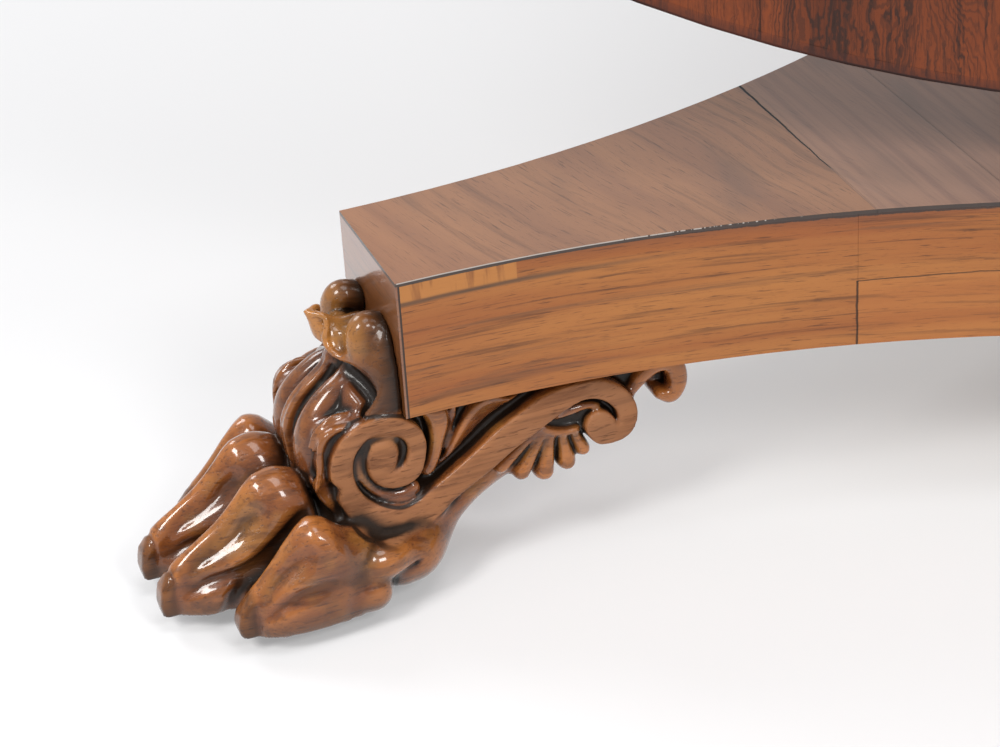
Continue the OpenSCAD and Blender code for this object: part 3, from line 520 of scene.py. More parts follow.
# colour of the foot from its own place and from how hollow the carving is there
def carvedWoodFinish(c):
    f = Finish("carvedWood")
    u, v, z = f.split(f.attribute("foot", "Vector"))
    measures = ("fine", "wide", "deep", "strap", "brink")
    fine, wide, deep, strap, brink = [f.attribute(name) for name in measures]
    beside = abs(v)
    bracket = beside.step(c["bracket"], c["bracket"] + 0.001)
    warp = f.noise(u * 12, v * 26, z * 26)
    figure = f.noise(u * 14, v * 190 + warp * 3.0, z * 210 + warp * 3.0, 5, 0.62, 0.3)
    ticks = f.noise(u * 120, v * 1000, z * 1000, 3, 0.6)
    patch = f.noise(u * 26, v * 26, z * 26, 4, 0.6)
    blot = f.noise(u * 75, v * 75, z * 75, 4, 0.65)
    amber = f.noise(u * 34, v * 34, z * 34 + 7.0, 3, 0.55)
    # high points lighter, as wear and as painted highlight
    wearAndPaintedShading = (wide * 0.7 + fine * 2.2 + deep * 0.25 + (blot - 0.5) * 1.6).step(0.2, 2.4)
    stem = z.step(0.052, 0.070) * (1 - z.step(0.097, 0.105)) * u.step(0.0, 0.004) * (1 - strap)
    strapTone = f.mix(c["strap"], (figure.step(0.42, 0.64) * 0.6, c["strapDark"]),
                      (patch.step(0.42, 0.64) * 0.5, c["strapPatch"]))
    # old polish and dirt, with painted shade, lie dark in every hollow and where the leaf meets the arm's
    # end
    hollow = wide * -0.85 + fine * -2.4 + deep * -0.34 + (patch - 0.5) * 1.6 + (blot - 0.5) * 0.7
    hollow = hollow.step(-0.25, 1.1)
    # painted shade where the leaf falls back to the arm's end
    behind = (1 - u.scaled(0.002, 0.019, 0.0, 1.0).bounded()) * u.step(-0.001, 0.0) * z.step(0.079, 0.083)
    # painted shade in the narrow grooves of the volute
    channel = (fine * -4.0).step(0.3, 1.3) * bracket * (1 - strap) * z.step(0.036, 0.042)
    # painted shade along the ribbon's outline
    outline = (brink - 0.75).near(0.35, 1.0) * bracket * z.step(0.030, 0.034) * u.step(-0.052, -0.047)
    nail = u.step(0.0930, 0.0960).most(u.step(0.0685, 0.0715) * beside.step(0.028, 0.029)) * 0.55
    gap = (beside - c["cleft"]).near(0.0015, 0.0045).most(1 - beside.step(0.0015, 0.004))
    calm = u.step(0.036, 0.046).most(beside.step(0.046, 0.050)) * (1 - gap)
    hollow = (hollow * (1 - calm * 0.5)).most(behind).most(channel.most(outline * 0.95)).most(nail)
    dusty = ((patch - 0.5) * 4).step(0.35, 0.9) * hollow * z.step(0.07, 0.09)
    tone = f.mix(c["middle"], (amber.step(0.48, 0.66) * 0.6, c["amber"]),
                 (patch.step(0.47, 0.70) * 0.55, c["deep"]),
                 (wearAndPaintedShading * 0.8, c["pale"]), (figure.step(0.46, 0.64) * 0.5, c["deep"]),
                 (stem * 0.42, c["deep"]),
                 (z.step(0.099, 0.108) * u.step(0.006, 0.012) * 0.55, c["gold"]), (strap * 0.92, strapTone),
                 (ticks.step(0.56, 0.70) * 0.6, c["deep"]), (hollow * 0.96, c["nearBlack"]),
                 (dusty * 0.30, c["bloom"]),
                 # darker towards the sole
                 (z.scaled(0.008, 0.018, 0.7, 0.0).bounded(), c["nearBlack"]))
    return f.close({"Coat Roughness": 0.06, "Coat IOR": 1.5, "Specular IOR Level": 0.22}, colour=tone,
                   roughness=0.20 + strap * 0.26 + hollow * 0.10 + blot * 0.10,
                   coat=(0.95 - strap * 0.86 - hollow * 0.6 - blot * 0.2).bounded(),
                   normal=f.bump(ticks.step(0.5, 0.7) * -0.4 + blot * 0.9, 0.0003, 0.6))


def turnedFinish():
    f = Finish("turnedWood")
    x, y, z = f.place()
    tone, _, cloud, grain = rosewood(f, z, x, y, turnedWood)
    return f.close({"Coat Roughness": 0.08}, colour=tone, roughness=0.28 + cloud * 0.1,
                   coat=0.5 + cloud * 0.2, normal=f.bump(grain * -0.3, 0.0002, 0.4))


def plainWoodFinish(name, pale, middle, dark, rough):
    f = Finish(name)
    x, y, z = f.place()
    look = {**plainWood, "pale": pale, "middle": middle, "dark": dark, "cloudColour": middle}
    tone, streak, cloud, grain = rosewood(f, z, x, y, look)
    return f.close({}, colour=tone, roughness=rough + cloud * 0.15,
                   normal=f.bump(grain * -0.5 + streak * -0.3, 0.0004, 0.6))


def metalFinish(name, bright, dull, dark, rough):
    f = Finish(name)
    x, y, z = f.place()
    cloud = f.noise(x, y, z, 5, 0.6, scale=55.0)
    spots = f.noise(x, y, z, 4, 0.65, scale=420.0)
    brushed = f.noise(x * 300, y * 300, z * 2600, 2)
    tone = f.mix(bright, (cloud.step(0.35, 0.65), dull), (spots.step(0.52, 0.66) * 0.7, dark))
    return f.close({}, colour=tone, roughness=rough + cloud * 0.25 + spots.step(0.5, 0.7) * 0.2,
                   metal=1.0 - spots.step(0.56, 0.7) * 0.5,
                   normal=f.bump(brushed * 0.4 + spots * 0.6, 0.0002, 0.35))


finishes = {
    "rosewood_top": tabletopFinish(topFigure),
    "rosewood_edge": edgeFinish(topFigure),
    "rosewood_platform": topVeneerFinish(topVeneer),
    "rosewood_side": sideVeneerFinish(sideVeneer),
    "rosewood_carved": carvedWoodFinish(carvedLook),
    "rosewood_turned": turnedFinish(),
    "mahogany": plainWoodFinish("mahogany", (0.23, 0.085, 0.038), (0.17, 0.058, 0.026),
                                (0.06, 0.02, 0.012), 0.42),
    "pine": plainWoodFinish("pine", (0.40, 0.25, 0.12), (0.31, 0.18, 0.085), (0.16, 0.085, 0.04), 0.62),
    "brass": metalFinish("brass", (0.62, 0.43, 0.17), (0.42, 0.27, 0.10), (0.06, 0.035, 0.018), 0.28),
    "iron": metalFinish("iron", (0.24, 0.22, 0.21), (0.13, 0.115, 0.105), (0.05, 0.024, 0.014), 0.42)}
special = {"end_veneers": endVeneerFinish(armEnd), "frieze_veneer": friezeFinish(topFigure)}


def dressNodes():
    slots = {part["node"]: part["material_slot"] for part in frame["record"]["subparts"]}
    for name, obj in frame["nodes"].items():
        obj.data.materials.clear()
        obj.data.materials.append(special.get(name, finishes[slots[name]]))


dressNodes()
report("finishes")


# carving of one foot: u runs out from the arm's end, v across, z up from the floor, all in mm
carving = {"step": 1.08, "u": (-122.0, 106.0), "v": 60.0, "z": (5.0, 133.0), "armEnd": 363.0,
           "arms": (210, 330, 90), "empty": 50.0, "blurs": (("fine", 1), ("wide", 4), ("deep", 8)),
           "under": 78.9, "sole": 8.0, "castorAt": 28.0, "screwsAt": ((-66.0, 68.0), (-34.0, 62.0)),
           "toeTip": (92, 0.16), "brink": 6, "strapFrom": 30.6}


def smoothMin(a, b, k):
    h = np.clip(0.5 + 0.5 * (b - a) / k, 0.0, 1.0)
    return b + (a - b) * h - k * h * (1.0 - h)


def smoothMax(a, b, k):
    return -smoothMin(-a, -b, k)


# distances to the surface on a grid of half a foot, v >= 0
class Clay:
    def __init__(self, s):
        step = s["step"]
        self.step = step
        self.u = np.arange(s["u"][0], s["u"][1] + step, step, dtype=np.float32)
        self.v = np.arange(-1.5 * step, s["v"] + step, step, dtype=np.float32)
        self.z = np.arange(s["z"][0], s["z"][1] + step, step, dtype=np.float32)
        self.U, self.V, self.Z = self.u[:, None, None], self.v[None, :, None], self.z[None, None, :]
        self.d = np.full((len(self.u), len(self.v), len(self.z)), s["empty"], dtype=np.float32)

    # slices of the grid that a shape between two corners can change
    def window(self, low, high, margin):
        out = []
        for axis, lo, hi in zip((self.u, self.v, self.z), low, high):
            ends = np.searchsorted(axis, (lo - margin, hi + margin))
            out.append(slice(int(ends[0]), int(ends[1])))
        return tuple(out)

    def part(self, w):
        return self.U[w[0]], self.V[:, w[1]], self.Z[:, :, w[2]]

    def put(self, w, dist, k, how):
        if self.d[w].size:
            self.d[w] = smoothMin(self.d[w], dist, k) if how == "add" else smoothMax(self.d[w], -dist, k)

    # ellipsoid, pitched by turn degrees in the u-z plane
    def blob(self, centre, radii, k, how="add", turn=0.0):
        reach = max(radii)
        w = self.window([x - reach for x in centre], [x + reach for x in centre], k + 2)
        x, y, z = (axis - c for axis, c in zip(self.part(w), centre))
        a = math.radians(turn)
        x, z = x * math.cos(a) + z * math.sin(a), -x * math.sin(a) + z * math.cos(a)
        p, q = (np.sqrt(sum((e / r ** n) ** 2 for e, r in zip((x, y, z), radii)) + tiny)
                for n, tiny in ((1, 0), (2, 1e-9)))
        self.put(w, p * (p - 1.0) / q, k, how)

    # rod of changing radius along a smooth curve through points (u, v, z, r)
    def rod(self, points, k, how="add", mirror=False):
        knots = splinePoints(points, 4) if len(points) > 2 else np.array(points, float)
        for side in ((1, -1) if mirror else (1,)):
            pts = knots * np.array([1, side, 1, 1])
            w = self.window((pts[:, :3] - pts[:, 3:]).min(0), (pts[:, :3] + pts[:, 3:]).max(0), k + 2)
            U, V, Z = self.part(w)
            best = None
            for a, b in zip(pts[:-1], pts[1:]):
                e = b[:3] - a[:3]
                x, y, z = U - a[0], V - a[1], Z - a[2]
                t = np.clip((x * e[0] + y * e[1] + z * e[2]) / ((e ** 2).sum() + 1e-9), 0,
                            1).astype(np.float32)
                dist = np.sqrt((x - e[0] * t) ** 2 + (y - e[1] * t) ** 2 + (z - e[2] * t) ** 2) \
                    - (a[3] + (b[3] - a[3]) * t)
                best = dist if best is None else np.minimum(best, dist)
            self.put(w, best.astype(np.float32), k, how)

    # a shape on the u-z grid, raised on both sides to a height that may change over the grid
    def relief(self, shape, height, k, join):
        across = np.abs(self.V) - (height[:, None, :] if hasattr(height, "shape") else height)
        if hasattr(height, "shape"):
            gu, gz = np.gradient(height, self.step)
            across = across / np.sqrt(1 + gu ** 2 + gz ** 2)[:, None, :]
        dist = smoothMax(shape[:, None, :] + 0 * across, across + 0 * shape[:, None, :], k)
        self.put((slice(None),) * 3, dist.astype(np.float32), join, "add")


# points of a smooth curve through the knots, which may have any number of columns
def splinePoints(knots, n=6):
    p = np.array(knots, dtype=float)
    p = np.vstack([2 * p[0] - p[1], p, 2 * p[-1] - p[-2]])
    out = []
    for a, b, c, d in zip(p, p[1:], p[2:], p[3:]):
        for t in np.arange(n) / n:
            out.append(0.5 * (2 * b + (c - a) * t + (2 * a - 5 * b + 4 * c - d) * t * t
                              + (3 * b - a - 3 * c + d) * t ** 3))
    out.append(p[-2])
    return np.array(out)


def ringPoints(knots):
    return splinePoints(knots + knots[:1], 5)[:-1]


# distance to a curve on the u-z grid, and the width given at its nearest point
def alongCurve(U, Z, pts):
    best = np.full(np.broadcast(U, Z).shape, 1e6, dtype=np.float32)
    width = np.zeros_like(best)
    for a, b in zip(pts[:-1], pts[1:]):
        ex, ez = b[0] - a[0], b[1] - a[1]
        t = np.clip(((U - a[0]) * ex + (Z - a[1]) * ez) / (ex * ex + ez * ez + 1e-9), 0, 1)
        dist = np.hypot(U - a[0] - ex * t, Z - a[1] - ez * t)
        near = dist < best
        best = np.where(near, dist, best)
        if len(a) > 2:
            width = np.where(near, a[2] + (b[2] - a[2]) * t, width)
    return best, width


# distance to a closed outline, negative inside
def insideOutline(U, Z, pts):
    pts = np.array(pts)
    dist, _ = alongCurve(U, Z, np.vstack([pts[:, :2], pts[:1, :2]]))
    inside = np.zeros(dist.shape, dtype=bool)
    for a, b in zip(pts, np.roll(pts, -1, axis=0)):
        crosses = (a[1] > Z) != (b[1] > Z)
        inside ^= crosses & (U < a[0] + (Z - a[1]) * (b[0] - a[0]) / (b[1] - a[1] + 1e-12))
    return np.where(inside, -dist, dist)


# closed mesh of the zero surface: one point per crossed cell, at the mean of its crossed edges
def netSurface(d):
    inside = d < 0
    n = d.shape
    corners = [(i, j, k) for i in (0, 1) for j in (0, 1) for k in (0, 1)]

    def cut(c, a):
        return a[c[0]:n[0] - 1 + c[0], c[1]:n[1] - 1 + c[1], c[2]:n[2] - 1 + c[2]]

    cell = sum(cut(c, inside).astype(np.uint8) for c in corners)
    active = (cell > 0) & (cell < 8)
    index = np.full(active.shape, -1, dtype=np.int64)
    where = np.argwhere(active)
    index[active] = np.arange(len(where))
    total, count = np.zeros((len(where), 3)), np.zeros(len(where))
    values = {c: cut(c, d)[active] for c in corners}
    for c in corners:
        for axis in (i for i in range(3) if not c[i]):
            a, b = values[c], values[c[:axis] + (1,) + c[axis + 1:]]
            crossed = (a < 0) != (b < 0)
            p = np.tile(np.array(c, float), (len(where), 1))
            p[:, axis] += np.where(crossed, a / np.where(crossed, a - b, 1), 0)
            total += p * crossed[:, None]
            count += crossed
    faces = []
    for axis in range(3):
        others = [a for a in range(3) if a != axis]
        lead = [slice(1, -1)] * 3
        tail = list(lead)
        lead[axis], tail[axis] = slice(0, -1), slice(1, None)
        a, b = inside[tuple(lead)], inside[tuple(tail)]
        for sign, mask in ((1, a & ~b), (-1, ~a & b)):
            base = np.argwhere(mask)
            base[:, others] += 1
            quad = []
            for shift in ((0, 0), (-1, 0), (-1, -1), (0, -1)):
                q = base.copy()
                q[:, others] += shift
                quad.append(index[tuple(q.T)])
            quad = np.stack(quad, 1)
            faces.append(quad[:, ::-1] if (sign > 0) == (axis == 1) else quad)
    return where + total / count[:, None], np.vstack(faces)


# the field and its slope at points given in grid steps
def valueAt(d, p):
    i = np.clip(np.floor(p).astype(int), 0, np.array(d.shape) - 2)
    x, y, z = (p - i).T
    g = [d[i[:, 0] + a, i[:, 1] + b, i[:, 2] + c] for a in (0, 1) for b in (0, 1) for c in (0, 1)]

    def mix(a, b, t):
        return a + (b - a) * t

    e00, e01, e10, e11 = (mix(g[j], g[j + 4], x) for j in range(4))
    value = mix(mix(e00, e10, y), mix(e01, e11, y), z)
    sx = mix(mix(g[4] - g[0], g[6] - g[2], y), mix(g[5] - g[1], g[7] - g[3], y), z)
    sy = mix(e10 - e00, e11 - e01, z)
    sz = mix(e01, e11, y) - mix(e00, e10, y)
    return value, np.stack([sx, sy, sz], 1)


def softened(d, keep=0.5):
    for axis in range(3):
        n = d.shape[axis]
        near = np.concatenate([np.take(d, [0], axis), d, np.take(d, [-1], axis)], axis)
        beside = np.take(near, range(0, n), axis) + np.take(near, range(2, n + 2), axis)
        d = keep * d + (1 - keep) * 0.5 * beside
    return d


# outlines and curves of the carved bracket as (u, z) or (u, z, half width); petals as root, tip, two widths
lines = {
    "eyeSide": [(11.1, 59.3), (9.2, 56), (4.8, 56.2), (1.2, 60.1), (0, 65.5), (2.9, 71.1), (8.8, 74),
                (15, 73.3), (20.4, 68.8), (22.4, 62.9), (21.9, 55.4), (18.2, 47.8), (12.8, 42.9), (5, 39.8),
                (-2.5, 41), (-10.2, 45.2), (-18, 50), (-28.3, 56.8), (-35.9, 62.4), (-46.7, 68.4),
                (-57.4, 73.2), (-68.7, 75), (-79.9, 74.4), (-88.8, 69.1), (-93.9, 62.8), (-95.9, 54.8),
                (-93.3, 47.3), (-87, 44), (-78.7, 44.7), (-74.3, 50.1), (-73.4, 55.3), (-76.3, 59.4),
                (-81.6, 59.6), (-85.2, 56.1), (-86.6, 51.6)],
    "outerSide": [(14.2, 70.3), (16.4, 65.2), (16.3, 57.9), (12.8, 51.6), (7.2, 48.7), (0.6, 48.9),
                  (-4.8, 52.7), (-7.2, 60.2), (-7.7, 66.6), (-5.6, 72.8), (-0.2, 77.9), (7.5, 80.9),
                  (16.9, 80.7), (25.1, 76.6), (30, 69.9), (31.6, 62.3), (30.8, 53.1), (27.9, 44.9),
                  (22.7, 37.6), (15.1, 32.6), (8, 30.9), (-3.7, 30.9), (-12, 33.6), (-23.4, 40.2),
                  (-33.4, 45.9), (-42.8, 52.1), (-52, 57.1), (-59.8, 61.5), (-67.5, 65.1), (-73.6, 66.7),
                  (-80.3, 64.9), (-86.1, 59.2), (-87.8, 52.9)],
    "eyeGroove": [(11.6, 60.4, 0.5), (10, 57.8, 1), (7.4, 57, 1.3), (4.6, 58.2, 1.6), (2.8, 61.2, 1.8),
                  (2.1, 65.4, 1.9), (4.3, 69.7, 1.9), (8.9, 72.1, 1.9), (14.6, 71.9, 1.8), (18.4, 68, 1.8)],
    "bead": [(20, 65.5, 0.9), (20, 60, 1.3), (18.6, 55.4, 1.6), (14.6, 49.4, 1.8), (8.9, 45.6, 2.1),
             (3, 44.6, 2.4), (-1.6, 46.2, 2.3)],
    "flange": [(4, 80.3), (14, 81.2), (21.6, 81), (28.8, 79.8), (33.3, 77.5), (34.5, 72.2), (33.9, 66.4),
               (34.9, 60.2), (37.2, 54.4), (35.6, 48.6), (33.4, 45), (26.8, 37.3), (18.5, 31.6), (8, 40),
               (10, 70)],
    "spandrel": [(2, 79.4), (-5, 70), (-4, 50), (-10, 43.5), (-28, 55), (-46, 67), (-60, 73.6), (-75, 73),
                 (-88, 66), (-96, 60.5), (-101.5, 66), (-103, 79.4)],
    "leafOne": [(-4.5, 79.2), (-8.6, 74), (-9.6, 67), (-9, 60), (-6.9, 54), (-5.2, 50.6), (-6.6, 48.2),
                (-10.5, 49.6), (-14.3, 56), (-16.2, 62.6), (-18.4, 68.4), (-18.9, 74), (-16.8, 78.2),
                (-12, 79.4)],
    "leafTwoTop": [(-10.8, 49.2), (-16.2, 55.4), (-20.5, 63.5), (-24.6, 70.4), (-30.1, 75.6), (-37.5, 76.8),
                   (-44, 73.8), (-50.7, 74.4), (-58.5, 77)],
    "leafTwoLow": [(-9, 47), (-13.4, 49.8), (-20.9, 54.9), (-28.2, 61), (-36, 67), (-43.3, 70.4),
                   (-50.5, 73.2), (-60, 76.2)],
    "stalk": [(-15, 56.6), (-17, 62.4), (-19.3, 68.2), (-20.2, 74), (-19.6, 79), (-23.2, 79), (-22.4, 72),
              (-20, 65), (-17.4, 58.4)],
    "petals": [((-55.3, 56.6), (-38.5, 43.6), 1.6, 2.9), ((-57.6, 55.4), (-46.9, 39), 1.7, 3.7),
               ((-60.3, 53.6), (-56.2, 37.4), 1.8, 4.5), ((-64.4, 52.4), (-66.1, 38.9), 1.8, 4),
               ((-69.2, 52), (-73.2, 42.6), 1.8, 3.2)],
    "petalWeb": [(-40, 53), (-43, 45.6), (-50, 41.4), (-58, 39.6), (-68, 41), (-73.6, 45.5), (-74, 52),
                 (-62, 62)],
    "collar": [(-54.6, 60.3), (-56.2, 57.4), (-60.2, 54.6), (-65.2, 53), (-70.6, 52.9)],
    "innerLeaf": [(-58.6, 60.2, 0.8), (-62.5, 61, 1.7), (-68.5, 62, 2.3), (-75, 62.6, 1.9),
                  (-80.5, 61.4, 1.2)],
    "endCurl": [(-93, 60, 2.4), (-97.5, 65.2, 3), (-103.5, 70.2, 3.6), (-110, 71.6, 4.2),
                (-114.6, 67.6, 4.4), (-115.4, 60.8, 4.3), (-112.4, 55.8, 3.8), (-107.6, 57.4, 2.6)],
    "legUnder": [(30, 26), (20, 34), (0, 38), (-12, 40), (-23.4, 46), (-33.4, 52), (-42.8, 58), (-54, 63),
                 (-64, 56), (-61, 40.5), (-53.5, 35.6), (-46.7, 32.6), (-38.2, 29.4), (-29.6, 24.6),
                 (-21.6, 17.4), (-16.4, 10.4), (-15, 6), (10, 4), (30, 4)],
    "smallGround": [(-54, 62), (-60, 53), (-70, 51), (-74, 49), (-90, 50), (-92, 60), (-86, 68), (-70, 68)]}


def shapeFoot(clay, s, ln):
    gridU, gridZ = clay.u[:, None].astype(float), clay.z[None, :].astype(float)
    curves = {name: splinePoints(ln[name])
              for name in ("outerSide", "leafTwoTop", "leafTwoLow", "collar", "innerLeaf", "endCurl",
                           "eyeGroove")}

    def outline(points):
        return insideOutline(gridU, gridZ, points)

    # rounded height over a curve: full at its middle, flat at its width
    def domed(dist, width):
        return np.sqrt(np.clip(1 - (dist / np.maximum(width, 0.1)) ** 2, 0, 1))

    clay.ribbon = outline(np.vstack([splinePoints(ln["eyeSide"][7:]), curves["outerSide"][::-1]]))

    # leg below the ribbon
    legWidth = np.interp(clay.z, [8, 20, 34, 50, 80], [31, 30.5, 30.0, 29.0, 27])[None, :] + 0 * gridU
    legWidth = legWidth - np.clip(-(gridU + 18), 0, 40) * 0.09
    clay.relief(outline(ringPoints(ln["legUnder"])) + 2.0, legWidth, 15, 0.5)

    # ground of the bracket
    clay.relief(outline(ln["spandrel"]), 23.5, 1.0, 1.0)
    clay.relief(outline(ringPoints(ln["flange"])), 27.6, 2.4, 1.5)
    clay.relief(outline(splinePoints(ln["outerSide"][10:22])) + 0.2, 28.0, 1.0, 0.6)
    clay.relief(outline(ln["petalWeb"]) + 0.5, 25.5, 2.0, 0.8)

    # leaves of the spandrel
    one = outline(ringPoints(ln["leafOne"]))
    rise = np.clip(-one / 4.5, 0, 1)
    clay.relief(one, 26.5 + 4.2 * np.sqrt(1 - (1 - rise) ** 2), 0.8, 0.5)
    top, low = (alongCurve(gridU, gridZ, curves[name])[0] for name in ("leafTwoTop", "leafTwoLow"))
    two = outline(np.vstack([curves["leafTwoTop"], curves["leafTwoLow"][::-1]]))
    clay.relief(two, 30.6 - 5.2 * (top / (top + low + 1e-6)) ** 0.8, 0.9, 0.5)
    clay.relief(outline(ln["stalk"]), 27.2, 1.2, 0.5)

    # petals, collar and the leaf that follows the small volute
    for root, tip, r0, r1 in ln["petals"]:
        run = [(root[0] + (tip[0] - root[0]) * f, root[1] + (tip[1] - root[1]) * f,
                r0 + (r1 - r0) * f ** 1.4)
               for f in np.arange(6) / 5]
        dist, width = alongCurve(gridU, gridZ, np.array(run))
        clay.relief(dist - width, 27.6 + width * 0.95 * domed(dist, width), 1.2, 0.35)
    dist, _ = alongCurve(gridU, gridZ, curves["collar"])
    clay.relief(dist - 1.7, 27.5 + 2.9 * domed(dist, 1.9), 0.6, 0.4)
    dist, width = alongCurve(gridU, gridZ, curves["innerLeaf"])
    clay.relief(dist - width, 27.0 + 3.6 * domed(dist, width), 0.6, 0.4)
    clay.relief(outline(ln["smallGround"]), 26.4, 0.8, 0.5)

    # curl at the far end
    dist, width = alongCurve(gridU, gridZ, curves["endCurl"])
    clay.relief(dist - width, 28.6 - 1.6 * np.clip(dist / np.maximum(width, 0.1), 0, 1) ** 3, 2.2, 0.6)
    clay.relief(np.hypot(gridU + 109.6, gridZ - 62.6) - 5, 19.0, 1.0, 0.8)

    # ribbon, the groove between its turns and the bead that fills it lower down
    clay.relief(clay.ribbon, 32.4, 0.9, 0.25)
    dist, width = alongCurve(gridU, gridZ, curves["eyeGroove"])
    groove = smoothMax((dist - 1.2 * width)[:, None, :] + 0 * clay.V,
                       27.6 - np.abs(clay.V) + 0 * dist[:, None, :], 0.8)
    clay.d = softened(smoothMax(clay.d, -groove, 0.5))
    clay.rod([(u, 28.7, z, r * 1.05) for u, z, r in ln["bead"]], k=0.5)

    shapePaw(clay)
    shapeLeaf(clay)

    # room for the arm, the castor in the sole and the two screws
    U, V, Z = clay.U, clay.V, clay.Z
    bores = [(s["castorAt"], 21.0, 30.0), (s["castorAt"], 7.7, 57.2)]
    for at, top in s["screwsAt"]:
        bores += [(at, 6.1, top), (at, 3.1, 79.0)]
    clay.d = np.maximum(clay.d, s["sole"] - Z)
    clay.d = np.maximum(clay.d, -np.maximum(U - 0.25, s["under"] - Z))
    for at, radius, top in bores:
        clay.d = np.maximum(clay.d, -np.maximum(np.hypot(U - at, V) - radius, Z - top))


# smooth curve through (x, y) knots that never swings past them
def easyCurve(x, xs, ys):
    xs, ys = np.asarray(xs, float), np.asarray(ys, float)
    h = np.diff(xs)
    s = np.diff(ys, axis=0) / h.reshape((-1,) + (1,) * (ys.ndim - 1))
    m = np.zeros_like(ys)
    same = s[1:] * s[:-1] > 0
    m[1:-1] = np.where(same, 2 * s[1:] * s[:-1] / np.where(same, s[1:] + s[:-1], 1), 0)
    m[0], m[-1] = s[0], s[-1]
    x = np.clip(x, xs[0], xs[-1])
    i = np.clip(np.searchsorted(xs, x) - 1, 0, len(h) - 1)
    shape = x.shape + (1,) * (ys.ndim - 1)
    t, step = ((x - xs[i]) / h[i]).reshape(shape), h[i].reshape(shape)
    return (ys[i] * (1 + 2 * t) * (1 - t) ** 2 + ys[i + 1] * t * t * (3 - 2 * t)
            + step * (m[i] * t * (1 - t) ** 2 - m[i + 1] * t * t * (1 - t)))


# a body lofted along u: every station gives its middle v, heights and the half widths at them
def loftToe(clay, stations, front, k, back=6.0):
    us, vs = [s[0] for s in stations], [s[1] for s in stations]
    w = clay.window((us[0] - 2, min(vs) - 16, 4), (us[-1] + 4, max(vs) + 16, 66), 0)
    u, z = clay.u[w[0]].astype(float), clay.z[w[2]].astype(float)
    middle = easyCurve(u, us, vs)
    table = easyCurve(u, us, [s[2:] for s in stations])[:, :, ::-1]
    square = np.zeros((len(u), len(z)))
    for i, (zs, ws) in enumerate(table):
        drop = ws[-2] ** 2 / (zs[-1] - zs[-2])
        square[i] = np.where(z <= zs[-1], easyCurve(z, zs, ws ** 2), -(z - zs[-1]) * drop)
    gu, gz = np.gradient(square, clay.step)
    across = clay.V[:, w[1]] - middle[:, None, None]
    slope = np.sqrt((2 * across) ** 2 + (gu ** 2 + gz ** 2)[:, None, :] + 8.0)
    dist = (across ** 2 - square[:, None, :]) / slope
    nose = u[:, None] - np.interp(z, [p[1] for p in front], [p[0] for p in front])[None, :]
    dist = smoothMax(dist, 0.95 * nose[:, None, :] + 0 * dist, 2.2)
    dist = smoothMax(dist, (us[0] + back - u)[:, None, None] + 0 * dist, back)
    clay.put(w, dist.astype(np.float32), k, "add")


# toes: u, middle v, heights from crest to sole, and the half widths there; fronts are (u, z) down the nail
innerToe = [
    (30, 14, [46, 43.5, 41, 38, 35, 31, 26, 20, 14, 6],
     [0, 5, 8, 10.5, 12, 13, 13.4, 13.5, 13.5, 13]),
    (36, 14, [52.5, 49.5, 46.5, 43, 39, 33.5, 27.5, 20.5, 14, 6],
     [0, 5.5, 8.8, 11, 12.6, 13.2, 13.6, 13.6, 13.6, 13]),
    (42, 14, [57.5, 55, 52, 47.5, 42.5, 36, 29, 21, 14, 6],
     [0, 6, 9.3, 12.2, 13.4, 13.8, 13.9, 13.8, 13.8, 13]),
    (50, 14, [59.8, 57.5, 54.5, 50, 45, 38, 30, 21, 14, 6],
     [0, 6, 9.2, 11.8, 13.2, 13.8, 13, 13.6, 13.6, 13]),
    (57, 14, [58.9, 56.4, 53, 47.5, 42, 35, 27, 19.5, 13, 6],
     [0, 4.8, 7.6, 9.4, 11.8, 13.4, 11.6, 13.3, 13.5, 12.5]),
    (61, 14, [56.4, 54, 50.6, 45.2, 39.6, 33.6, 26.6, 19.5, 13, 6],
     [0, 3.8, 5.8, 6.4, 11, 13.1, 10.9, 13.3, 13.6, 12.5]),
    (66, 14, [51, 48.6, 45.4, 40.4, 36.2, 31.8, 25.8, 19.5, 13, 6],
     [0, 2.9, 4.4, 5, 10, 12.6, 10.2, 13.3, 13.9, 12.6]),
    (70.5, 14, [46, 43.8, 41, 37.2, 33.4, 29.8, 24.9, 19, 12.8, 6],
     [0, 2.8, 4.4, 5.4, 9.6, 11.8, 9.4, 13.4, 13.9, 12.4]),
    (75, 14, [41.6, 39.6, 37.2, 34, 31, 28, 24.1, 18.5, 12.5, 6],
     [0, 2.9, 4.2, 5.6, 8.8, 10.4, 8.7, 13.2, 13.6, 11.6]),
    (83, 14, [35.8, 33.8, 31.6, 29, 27, 24.8, 21.8, 17, 12, 6],
     [0, 2.7, 3.6, 4.9, 7.3, 7.6, 6.8, 11.4, 11.8, 10]),
    (90, 14, [31, 29, 27, 24.6, 22.4, 20.4, 18, 14.4, 11, 6],
     [0, 3.2, 4.5, 5.2, 5.5, 5.6, 6, 8.2, 8.4, 7.2]),
    (95, 14, [27, 25.4, 23.6, 21.6, 19.8, 18, 16, 13.5, 11, 6],
     [0, 3.4, 4.6, 5, 5.1, 5.1, 5.2, 5.4, 5.6, 5.2]),
    (99.5, 14, [23.4, 21.6, 19.8, 18, 16.6, 15, 13.4, 11.8, 10, 6],
     [0, 3.6, 4.6, 5, 5.1, 5.1, 5.1, 5.1, 5.1, 5])]
innerFront = [(101.2, 6), (102.4, 12.4), (101.2, 19), (98.6, 23.3), (94, 30)]
